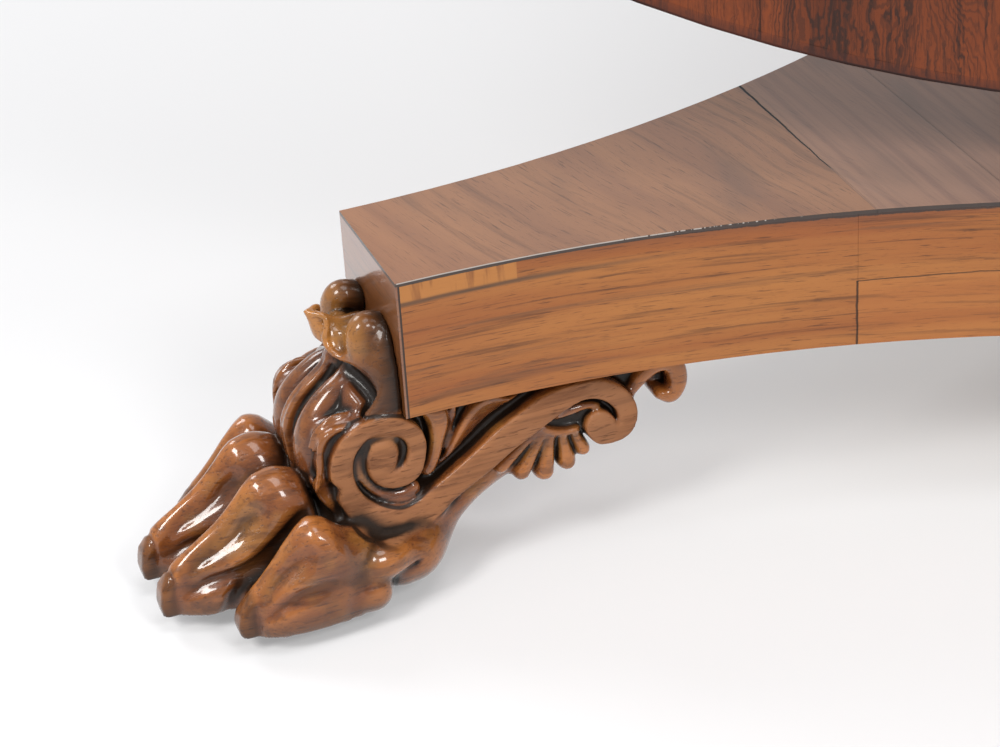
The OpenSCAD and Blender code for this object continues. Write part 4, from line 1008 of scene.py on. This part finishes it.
outerToe = [
    (4, 27, [31, 29.5, 28, 26.5, 25, 23, 21, 17, 12, 6],
     [0, 4, 6, 7, 7.4, 7.6, 7.8, 7.8, 7.6, 7]),
    (12, 30.5, [34.4, 33, 31.6, 30, 28, 26, 23.4, 19, 13, 6],
     [0, 4.4, 6.6, 7.6, 8.2, 8.6, 8.8, 8.8, 8.6, 8]),
    (20, 34.5, [37.4, 36, 34.4, 32.4, 30, 27, 24, 19, 13, 6],
     [0, 5, 7.6, 9.2, 10, 10.4, 10.2, 10.2, 9.8, 8.6]),
    (26, 37.6, [40.2, 38.8, 37, 34.4, 31.6, 28.4, 24.6, 19, 13, 6],
     [0, 5, 7.8, 9.6, 10.6, 11, 10.8, 11.6, 11.2, 9.6]),
    (31, 39.8, [42.8, 41.4, 39.4, 36.8, 33.8, 30.2, 26, 19, 13, 6],
     [0, 4.8, 7.4, 9.4, 10.6, 11.2, 11.1, 12, 11.8, 10.2]),
    (35, 40.8, [46.4, 44.8, 42.4, 39.4, 35.8, 31.6, 26.6, 19.2, 13.3, 6],
     [0, 5.2, 8, 10, 11.1, 11.5, 11.1, 12.2, 12, 10.3]),
    (39.5, 41, [50, 48.2, 45.4, 42, 37.8, 32.8, 27, 19.5, 13.5, 6],
     [0, 5.8, 8.8, 10.6, 11.4, 11.7, 11, 12.4, 12.2, 10.4]),
    (44, 41, [51.2, 49.2, 46.2, 42.6, 38, 33, 27, 19.5, 13.5, 6],
     [0, 5.8, 8.4, 9.6, 10.8, 11.6, 10.6, 12.5, 12.4, 10.6]),
    (48.5, 41, [49.4, 47.2, 44.6, 40.6, 36, 31.6, 26.6, 19.4, 13.4, 6],
     [0, 4.8, 6.8, 7.4, 10, 11.5, 10.2, 12.7, 12.5, 10.6]),
    (54, 41, [44.6, 42.6, 40, 36.2, 32.8, 29.4, 25.3, 18.8, 13, 6],
     [0, 3, 4.4, 5, 8.8, 10.9, 9.6, 12.6, 12.4, 10.5]),
    (60, 41, [37.2, 35.4, 33.4, 30.6, 28.2, 25.6, 22.4, 17.2, 12.4, 6],
     [0, 2.7, 3.5, 4.2, 8.2, 9.6, 8.7, 11.9, 11.7, 9.8]),
    (66, 41, [30.2, 28.4, 26.6, 24.4, 22.4, 20.4, 18, 14.6, 11.4, 6],
     [0, 3, 4, 5, 6.8, 7.4, 7.6, 9.6, 9.4, 8]),
    (71, 41, [25, 23.4, 21.8, 20, 18.2, 16.4, 14.4, 12.4, 10.4, 6],
     [0, 3.3, 4.4, 4.8, 5, 5.1, 5.2, 5.4, 5.6, 5.2]),
    (75, 41, [20.6, 19, 17.6, 16.4, 15.2, 13.8, 12.4, 11, 9.6, 6],
     [0, 3.4, 4.4, 4.8, 4.9, 5, 5, 5, 5, 4.8])]
outerFront = [(76, 6), (77.4, 12.4), (76, 18), (73.8, 22), (69, 30)]


def shapePaw(clay):
    # body of the paw behind the toes
    clay.blob((18, 0, 22), (40, 31, 26), k=5)
    clay.blob((16, 0, 40), (24, 24, 20), k=5)
    # leg's flank below the volute, the lobe beside the pad and the heel
    clay.rod([(-6, 20, 34, 11), (8, 22, 32, 13), (22, 26, 28, 13)], k=6)
    clay.rod([(-8, 19, 30, 12), (-4, 25, 22, 12.2), (1.5, 31, 19.2, 12.2), (8, 34, 18.4, 11)], k=4)
    loftToe(clay, outerToe, outerFront, 3, back=10)
    clay.rod([(33, 41, 22, 8.6), (26, 41.8, 23.6, 7.8), (18, 42.2, 25, 8), (10, 38.8, 24.2, 7.6),
              (2, 33, 23.2, 7.2)], k=2.6)
    clay.rod([(34, 42, 14.6, 9.8), (24, 42.8, 14.8, 9.8)], k=1.4)
    loftToe(clay, innerToe, innerFront, 1.6)
    # deep places between the toes and behind the knuckles
    clay.rod([(32, 29.5, 53, 3), (40, 28.6, 46, 2.8), (50, 27.8, 38, 2.2), (60, 27.8, 30, 2),
              (72, 27.5, 18, 2), (76, 27.5, 8, 3)], k=4, how="cut")
    clay.rod([(46, 0, 60, 2.6), (60, 0, 48, 2.6), (72, 0, 33, 2.4), (84, 0, 20, 2.4), (90, 0, 8, 3)], k=3,
             how="cut")
    clay.rod([(2.6, 43.2, 21.2, 0.6), (8.5, 46.4, 19.8, 1.3), (13.4, 48.6, 17.6, 2), (13, 48.2, 13.5, 2.6),
              (12.4, 47.6, 7, 3.2)], k=1.6, how="cut")
    clay.rod([(31, 54, 23, 0.8), (32, 55.4, 18, 1.6), (34, 55, 9, 2)], k=4, how="cut")
    # wrinkles over the outer pad and a furrow behind each nail
    clay.rod([(62, 51.5, 25, 0.6), (54, 53, 26.6, 0.9), (46, 53.6, 27.2, 0.8), (40, 53, 28, 0.5)], k=2.4,
             how="cut")
    clay.rod([(56, 51.5, 21.8, 0.5), (49, 54.6, 22.6, 0.8), (42, 54.8, 23.4, 0.5)], k=1.4, how="cut")
    for back, middle in ((0, 14), (24.6, 41)):
        clay.rod([(94.6 - back, middle + 6, 9, 0.7), (94.4 - back, middle + 6, 16, 0.8),
                  (95.2 - back, middle + 4.8, 23, 0.9), (97.0 - back, middle, 26.6, 1.5),
                  (95.2 - back, middle - 4.8, 23, 0.9), (94.4 - back, middle - 6, 16, 0.8)], k=0.9,
                  how="cut")


# ridges of the small frond above the volute, and the raised edge that runs on round the volute
fronds = [
    [(19, 23, 81.4, 0.8), (22.6, 23.4, 81.8, 1.3), (27, 23.6, 81.4, 1.4), (30.3, 23.6, 79.6, 1.4),
     (34, 23.2, 75.8, 1.3), (36.2, 22.6, 71, 0.9)],
    [(19, 24.8, 79.6, 0.8), (22, 25, 79.9, 1.2), (26, 25.2, 79.6, 1.3), (29.7, 25, 77.8, 1.3),
     (33.1, 24.6, 74.4, 1.2), (35.2, 24, 70, 0.8)],
    [(19, 27.4, 78.4, 0.8), (23, 27.6, 78.8, 1.2), (27.5, 27.8, 78.6, 1.3), (31.4, 27.8, 76.4, 1.4),
     (33.6, 27.8, 72.6, 1.4), (34.4, 27.8, 67.5, 1.4), (34.8, 27.6, 62, 1.3), (35.8, 27.2, 57, 1.1),
     (36.6, 26.8, 53, 0.8)]]


def shapeLeaf(clay):
    # core of the stem, then its two swelling ribs, the double vein and the flanks
    clay.rod([(30, 0, 54, 8), (29.5, 0, 66, 8), (24, 0, 78, 8), (15, 0, 89, 7), (8, 0, 100, 8)], k=3)
    clay.rod([(18, 12, 54, 14), (16, 13, 68, 13), (9, 14, 82, 12), (4, 13, 96, 11)], k=3, mirror=True)
    clay.rod([(9, 20, 58, 11), (8, 20.5, 72, 10.5), (2.5, 20.5, 86, 9), (0, 20, 98, 8)], k=3, mirror=True)
    clay.rod([(30.4, 12.4, 50, 8), (31.8, 12.6, 60, 8.2), (31.8, 12.6, 67, 8.1), (30.2, 12.2, 73.5, 7.4),
              (26.4, 11.4, 79.6, 6.4), (21.2, 10.6, 84.6, 5.6), (15.6, 9.8, 88.8, 5), (11, 9.4, 95, 4.6)],
              k=1, mirror=True)
    clay.rod([(37.6, 1.7, 55, 2.1), (38.8, 1.7, 65, 2.1), (38.2, 1.7, 70.8, 2.1), (36.2, 1.7, 75.6, 2.1),
              (33.6, 1.7, 79.6, 2), (29.5, 1.65, 83.8, 1.9), (24.8, 1.6, 87.6, 1.85), (20.4, 1.5, 92, 1.8),
              (18.6, 1.4, 98, 1.7)], k=0.4, mirror=True)
    clay.rod([(39.4, 5, 54, 1.3), (39.4, 5, 63, 1.6), (38, 4.9, 70.6, 1.8), (34.6, 4.8, 77, 1.8),
              (29.6, 4.7, 82.2, 1.7), (24, 4.5, 87, 1.6), (19.6, 4.2, 92, 1.4)], k=1.2, how="cut",
              mirror=True)
    # shallow groove outside each rib, then the flank that runs down from the rim
    clay.rod([(34, 21.4, 52, 1.6), (33, 21.8, 60, 1.8), (30.4, 22, 68, 1.8), (25.4, 21.4, 75, 1.6)], k=3,
             how="cut", mirror=True)
    clay.rod([(20, 23, 58, 6), (18, 23.4, 68, 6.4), (12, 23.2, 78, 6.2), (7, 22.6, 87, 5.6),
              (3.5, 22.4, 96, 4.6)], k=3, mirror=True)
    # head: two rounded lobes and a short pointed middle one
    clay.rod([(2.5, 13, 110.6, 5.8), (7.4, 13.8, 111.8, 6.2), (9.8, 14.8, 109.2, 6),
              (10.6, 15.8, 104.8, 5.6), (10, 16.4, 100.8, 4.8)], k=1.8,
             mirror=True)
    clay.rod([(0.5, 18.6, 108.6, 6.2), (2.8, 19.8, 105.2, 6.2), (4.2, 20.6, 101, 5.8), (4.2, 23.4, 95, 4.8),
              (4.8, 24.4, 91, 3.8)], k=2.6, mirror=True)
    clay.rod([(14, 10.5, 101.6, 4), (11.5, 15.5, 100.6, 4), (7, 20.6, 98.8, 4.4)], k=2, mirror=True)
    clay.rod([(6, 0, 105, 5.6), (12, 0, 105.4, 5.2), (17, 0, 107.4, 4.4), (20.6, 0, 110.4, 3.6),
              (23.4, 0, 113.4, 2.7), (25.6, 0, 116, 1.3)], k=2)
    clay.rod([(12, 6.5, 103, 6), (16, 5, 104, 5.2), (19.4, 0, 106.4, 4.6), (21.4, 0, 110, 3.4)], k=1.8,
             mirror=True)
    # the lobes part along soft valleys; their undersides are hollow behind the rim
    clay.rod([(4, 0, 118.5, 2.4), (10, 2, 117, 2.8), (14.6, 5.8, 115.4, 2.8), (17.4, 8.6, 111.6, 3),
              (18.2, 10.2, 107, 2.8), (17.6, 11.8, 103.6, 1.6)], k=1.8, how="cut", mirror=True)
    clay.blob((21.4, 0, 118.4), (4.6, 3, 2.4), k=1.4, how="cut", turn=24)
    clay.rod([(22.5, 0, 100.6, 2), (20.8, 6, 98.6, 2.4), (18.2, 12, 96.2, 3.2), (15.2, 17.5, 93.4, 3.8),
              (12.4, 22.6, 90, 3.8), (11.2, 25.2, 86.4, 3), (13.6, 26.2, 81.6, 2)], k=3, how="cut",
              mirror=True)
    # thin rim from the middle lobe out and down the flank
    rim = [(25.9, 0, 116, 0.9), (23, 2.4, 115.8, 1.1), (20.4, 4.6, 114.6, 1.3), (20.2, 6, 111.2, 1.3),
           (21.6, 6.4, 107.2, 1.3), (21.2, 8.4, 103.4, 1.3), (18.8, 11.8, 101, 1.3),
           (14.4, 16.4, 99.9, 1.3), (10, 21.4, 98.4, 1.4), (7, 25.8, 95, 1.5), (7.2, 27.7, 91, 1.4),
           (10.3, 28.2, 86, 1.3), (14, 27.8, 82, 1.2)]
    clay.rod(rim, k=0.9, mirror=True)
    clay.rod([(-0.5, 0, 123.5, 2), (0.2, 12, 120.5, 2.4), (0.2, 19, 118, 2.4), (0, 26, 111.5, 2.2),
              (-0.5, 30, 103, 1.8)], k=1, how="cut",
             mirror=True)
    # small frond between the stem and the volute, with its turned-over leaf
    clay.rod([(20, 22, 76, 4.6), (26, 22, 72, 4.8), (29.5, 21.6, 64, 5), (29, 20, 54, 5)], k=1.5,
             mirror=True)
    for line in fronds:
        clay.rod(line, k=0.5)


# blurred field at the surface: below 0 in a hollow, above 0 on a raised edge, which the finish lightens with
# wear and painted highlight
def blurred(d, cells):
    for axis in (0, 1, 2, 0, 1, 2):
        sums = np.cumsum(np.concatenate([np.take(d, [0], axis) * 0, d], axis), axis, dtype=np.float64)
        n = d.shape[axis]
        low, high = np.clip(np.arange(n) - cells, 0, n), np.clip(np.arange(n) + cells + 1, 0, n)
        shape = [1, 1, 1]
        shape[axis] = n
        d = (np.take(sums, high, axis) - np.take(sums, low, axis)) / (high - low).reshape(shape)
    return d


# points in mm, faces and what the finish needs to know at each point
def carveFoot(s):
    clay = Clay(s)
    shapeFoot(clay, s, lines)
    near = clay.d[:, clay.v >= 0, :]
    whole = np.concatenate([near[:, ::-1], near], 1)
    points, quads = netSurface(whole)
    for _ in range(3):
        value, slope = valueAt(whole, points)
        shift = -slope * (value / np.maximum((slope ** 2).sum(1), 0.05))[:, None]
        points += np.clip(shift, -0.3, 0.3)
    short = np.clip(whole, -9, 9)
    measures = {name: valueAt(blurred(short, cells), points)[0] for name, cells in s["blurs"]}
    place = np.array([clay.u[0], -clay.v[-1], clay.z[0]]) + points * s["step"]
    tip, squeeze = s["toeTip"]
    place[:, 0] -= np.clip(place[:, 0] - tip, 0, 20) * squeeze
    flat = points.copy()
    flat[:, 1] = 0.5
    strap = valueAt(clay.ribbon[:, None, :] + np.zeros((1, 2, 1)), flat)[0]
    measures["brink"] = np.clip(strap, -s["brink"], s["brink"])
    measures["strap"] = np.clip(0.5 - strap / 1.2, 0, 1) \
        * np.clip((np.abs(place[:, 1]) - s["strapFrom"]) / 0.9, 0, 1)
    return place, quads, measures


def makeFeet(s):
    place, quads, measures = carveFoot(s)
    for i, angle in enumerate(s["arms"]):
        c, n = math.cos(math.radians(angle)), math.sin(math.radians(angle))
        u, v, z = place[:, 0] + s["armEnd"], place[:, 1], place[:, 2]
        mesh = bpy.data.meshes.new("carvedFoot%d" % (i + 1))
        mesh.from_pydata((np.stack([u * c - v * n, u * n + v * c, z], 1) / 1000).tolist(), [],
                         quads.tolist())
        for name, values in measures.items():
            mesh.attributes.new(name, "FLOAT", "POINT").data.foreach_set("value", values.astype(np.float32))
        layer = mesh.attributes.new("foot", "FLOAT_VECTOR", "POINT")
        layer.data.foreach_set("vector", (place / 1000).astype(np.float32).ravel())
        mesh.shade_smooth()
        mesh.materials.append(finishes["rosewood_carved"])
        foot = linked(mesh.name, mesh)
        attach(foot, "base")
        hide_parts("foot_%d" % (i + 1))
    report("carved feet, %d faces each" % len(quads))


makeFeet(carving)


# geometry nodes: a tree with named inputs, run once into a plain mesh
class Growth(Finish):
    def __init__(self, name, **inputs):
        tree = bpy.data.node_groups.new(name, "GeometryNodeTree")
        sockets = [("Geometry", "Geometry", "OUTPUT"), ("Geometry", "Geometry", "INPUT")]
        sockets += [(label, kind, "INPUT") for label, kind in inputs.items()]
        self.named = {}
        for label, kind, way in sockets:
            made = tree.interface.new_socket(name=label, in_out=way, socket_type="NodeSocket" + kind)
            self.named[label] = made.identifier
        self.start(tree, "NodeGroupOutput")
        self.source = tree.nodes.new("NodeGroupInput")

    def given(self, label):
        return Amount(self, self.source.outputs[label])

    def own(self, name, kind="FLOAT"):
        return self.node("GeometryNodeInputNamedAttribute", {"data_type": kind}, {"Name": name})

    def moved(self, part, z):
        return self.node("GeometryNodeTransform", {},
                         {"Geometry": part, "Translation": self.vector(0.0, 0.0, z)})

    def joined(self, *parts):
        whole = self.node("GeometryNodeJoinGeometry")
        for part in parts:
            self.tree.links.new(part.socket, whole.socket.node.inputs[0])
        return whole

    def end(self, geometry):
        whole = self.node("GeometryNodeRealizeInstances", {}, {"Geometry": geometry})
        whole = self.node("GeometryNodeSetMaterial", {},
                          {"Geometry": whole, "Material": self.given("Finish")})
        self.tree.links.new(whole.socket, self.output.inputs[0])
        return self

    # the mesh grown from a base mesh, put in place of a node of the part
    def grow(self, kind, mesh, s, values):
        obj = linked(kind + "." + s["node"], mesh)
        step = obj.modifiers.new("grow", "NODES")
        step.node_group = self.tree
        for label, value in {**values, "Finish": finishes[s["slot"]]}.items():
            step[self.named[label]] = value
        graph = bpy.context.evaluated_depsgraph_get()
        made = bpy.data.meshes.new_from_object(obj.evaluated_get(graph), preserve_all_data_layers=True,
                                               depsgraph=graph)
        obj.modifiers.remove(step)
        obj.data = made
        if "sharpFrom" in s:
            made.shade_smooth()
            made.set_sharp_from_angle(angle=math.radians(s["sharpFrom"]))
        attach(obj, s["body"])
        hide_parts(s["node"])
        print("%s: %d faces" % (s["node"], len(made.polygons)))


# screws with slotted heads, one on each screw of the CAD node
screwSets = [dict(zip(("node", "outward", "body", "slot", "width", "seed"), row)) for row in (
    ("bearer_screws", (0, 1, 0), "top", "iron", 0.0012, 3),
    ("catch_screws", (0, 1, 0), "top", "brass", 0.0008, 4),
    ("keeper_screws", (0, 1, 0), "base", "brass", 0.0007, 5),
    ("foot_screws", (0, 0, -1), "base", "iron", 0.0013, 6),
    ("castor_plate_screws", (0, 0, -1), "base", "brass", 0.0006, 7))]
thickHead, thinHead = 0.0022, 0.0012


def screwTree():
    g = Growth("slottedScrew", Head="Float", Shank="Float", Length="Float", Thick="Float", Slot="Float",
               Finish="Material")
    head, shank, length, thick, slot = [g.given(k) for k in ("Head", "Shank", "Length", "Thick", "Slot")]
    cone = g.node("GeometryNodeMeshCone", {"fill_type": "NGON"},
                  {"Vertices": 24, "Radius Top": head * 0.86, "Radius Bottom": head, "Depth": thick})
    bar = g.node("GeometryNodeMeshCube", {}, {"Size": g.vector(head * 2.6, slot, thick * 0.9)})
    cut = g.node("GeometryNodeMeshBoolean", {"operation": "DIFFERENCE"},
                 {"Mesh 1": g.moved(cone, -thick), "Mesh 2": bar})
    rod = g.node("GeometryNodeMeshCylinder", {"fill_type": "NGON"},
                 {"Vertices": 20, "Radius": shank, "Depth": length - thick * 0.9})
    rod = g.moved(rod, (length + thick * 0.9) * -0.5)
    turn = g.node("FunctionNodeAlignRotationToVector", {"axis": "Z"},
                  {"Vector": g.own("facing", "FLOAT_VECTOR")})
    spin = g.node("FunctionNodeEulerToRotation", {}, {"Euler": g.vector(0.0, 0.0, g.own("spin"))})
    turn = g.node("FunctionNodeRotateRotation", {"rotation_space": "LOCAL"},
                  {"Rotation": turn, "Rotate By": spin})
    return g.end(g.node("GeometryNodeInstanceOnPoints", {}, {
        "Points": g.given("Geometry"), "Instance": g.joined(cut, rod), "Rotation": turn}))


def pointsOf(node):
    return np.array([v.co for v in frame["nodes"][node].data.vertices])


def separatePoints(node):
    keys, place = np.unique(np.round(pointsOf(node), 6), axis=0, return_inverse=True)
    group = np.arange(len(keys))
    for face in frame["nodes"][node].data.polygons:
        roots = {int(group[i]) for i in place.ravel()[list(face.vertices)]}
        group[np.isin(group, list(roots))] = min(roots)
    return [keys[group == g] for g in np.unique(group)]


def makeScrews(sets):
    tree = screwTree()
    for s in sets:
        outward = np.array(s["outward"], float)
        dice = np.random.default_rng(s["seed"])
        places, sizes = [], []
        for part in separatePoints(s["node"]):
            along = part @ outward
            across = part - np.outer(along, outward)
            middle = (across.max(0) + across.min(0)) / 2
            reach = np.linalg.norm(across - middle, axis=1)
            places.append(tuple(middle + outward * along.max()))
            sizes.append((np.ptp(along), reach.max(), reach[along < along.min() + 1e-5].max()))
        mesh = bpy.data.meshes.new(s["node"] + ".heads")
        mesh.from_pydata(places, [], [])
        facing = mesh.attributes.new("facing", "FLOAT_VECTOR", "POINT")
        facing.data.foreach_set("vector", np.tile(outward, len(places)))
        spin = mesh.attributes.new("spin", "FLOAT", "POINT")
        spin.data.foreach_set("value", dice.uniform(0, math.pi, len(places)))
        length, head, shank = (float(v) for v in np.max(sizes, 0))
        tree.grow("slotted", mesh, s, {
            "Head": head, "Shank": min(shank, head * 0.98), "Length": length,
            "Thick": thickHead if head > shank * 1.2 else thinHead, "Slot": s["width"]})


makeScrews(screwSets)
report("screws")


# turned column: the CAD profiles, with upright leaves cut into the swelling and gadroons round the foot
turned = {"body": "base", "slot": "rosewood_turned", "sharpFrom": 40, "rowHeight": 0.0019}
turnings = [
    {**turned, "node": "column_base_ring", "bored": True, "slim": 0.010, "around": 240,
     "cut": {"Leaves": 30.0, "Low": 0.1425, "High": 0.1560, "Depth": 0.0022}},
    {**turned, "node": "column_shaft", "bored": False, "slim": 0.0, "around": 234,
     "cut": {"Leaves": 9.0, "Low": 0.1880, "High": 0.2900, "Depth": 0.0046}},
    {**turned, "node": "column_cap", "bored": True, "slim": 0.0, "around": 144,
     "cut": {"Leaves": 24.0, "Low": 10.0, "High": 11.0, "Depth": 0.0}}]


def leafTree():
    g = Growth("lotusTurning", Leaves="Float", Low="Float", High="Float", Depth="Float", Finish="Material")
    x, y, z = g.split(g.node("GeometryNodeInputPosition"))
    low, high = g.given("Low"), g.given("High")
    turn = y.math("ARCTAN2", x) * (0.5 / math.pi) * g.given("Leaves") + 100.0
    h = (z - low) / (high - low)
    inside = h.step(-0.04, 0.03) * (1 - h.step(1.10, 1.22))
    a = abs(turn.math("FRACT") - 0.5)
    b = abs((turn + 0.5).math("FRACT") - 0.5)
    width = 0.36 + 0.13 * h.scaled(0.0, 0.4, 0.0, 1.0).bounded()
    width = ((1 - h.bounded() ** 2.6).most(0.0) ** 0.6) * width
    behind = ((1 - (h / 1.14).bounded() ** 3.2).most(0.0) ** 0.6) * 0.46
    front = (width - a).step(0.0, 0.05)
    # swelling rim of each leaf, a hollow inside it and a rib down the middle
    rim = (width - a - 0.07).near(0.0, 0.05)
    rib = (1 - a.step(0.0, 0.05)) * (1 - h.step(0.75, 0.95))
    veins = ((h * 9.0 - a * 7.0) * (2 * math.pi)).math("SINE") * 0.10
    leaf = front * (0.62 + rim * 0.30 + rib * 0.34 + veins * (1 - rim) * (1 - rib))
    second = (behind - b).step(0.0, 0.05) * (1 - front) * (0.30 + (1 - b.step(0.0, 0.05)) * 0.12)
    cut = (leaf + second - 1.0).least(0.0) * g.given("Depth") * inside
    reach = ((x ** 2 + y ** 2) ** 0.5).most(0.0001)
    shift = g.vector(x / reach * cut, y / reach * cut, 0.0)
    return g.end(g.node("GeometryNodeSetPosition", {}, {"Geometry": g.given("Geometry"), "Offset": shift}))


# rows of (height, radius) up the outside of a turned node; a step in it gives two rows at one height
def turnedProfile(points, bored, rowHeight):
    reach = np.round(np.hypot(points[:, 0], points[:, 1]), 5)
    height = np.round(points[:, 2], 5)
    bore = reach.min() if bored else 0.0
    rows = []
    for z in np.unique(height):
        radii = [r for r in np.unique(reach[height == z]) if r > bore + 0.0003]
        radii = [min(radii), max(radii)] if len(radii) > 1 else radii
        if rows and abs(radii[-1] - rows[-1][1]) < abs(radii[0] - rows[-1][1]):
            radii.reverse()
        if rows:
            low, r = rows[-1]
            n = max(1, int(math.ceil((z - low) / rowHeight)))
            rows += [(low + (z - low) * i / n, r + (radii[0] - r) * i / n) for i in range(1, n)]
        rows += [(z, r) for r in radii]
    return np.array(rows), bore


def makeTurnings(sets):
    tree = leafTree()
    for s in sets:
        rows, bore = turnedProfile(pointsOf(s["node"]), s["bored"], s["rowHeight"])
        z, r = rows.T
        r = r - s["slim"] * np.clip((r - r[-1]) / max(r.max() - r[-1], 0.001), 0, 1)
        if bore:
            z, r = np.append(z, [z[-1], z[0]]), np.append(r, [bore, bore])
        count, n = len(z), s["around"]
        turn = np.arange(n) * 2 * math.pi / n
        rings = [np.outer(r, np.cos(turn)), np.outer(r, np.sin(turn)), np.repeat(z[:, None], n, 1)]
        verts = np.stack(rings, 2).reshape(-1, 3)
        faces = []
        for i in range(count if bore else count - 1):
            up = (i + 1) % count
            faces += [(i * n + j, i * n + (j + 1) % n, up * n + (j + 1) % n, up * n + j) for j in range(n)]
        if not bore:
            verts = np.vstack([verts, [[0, 0, z[0]], [0, 0, z[-1]]]])
            foot, head = count * n, count * n + 1
            for j in range(n):
                k = (j + 1) % n
                faces += [(foot, k, j), (head, head - 1 - n + j, head - 1 - n + k)]
        mesh = bpy.data.meshes.new(s["node"] + ".tube")
        mesh.from_pydata(verts.tolist(), [], faces)
        tree.grow("turned", mesh, s, s["cut"])


makeTurnings(turnings)
report("column")

low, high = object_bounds()
report("size %s" % [round(v, 4) for v in (high - low)])
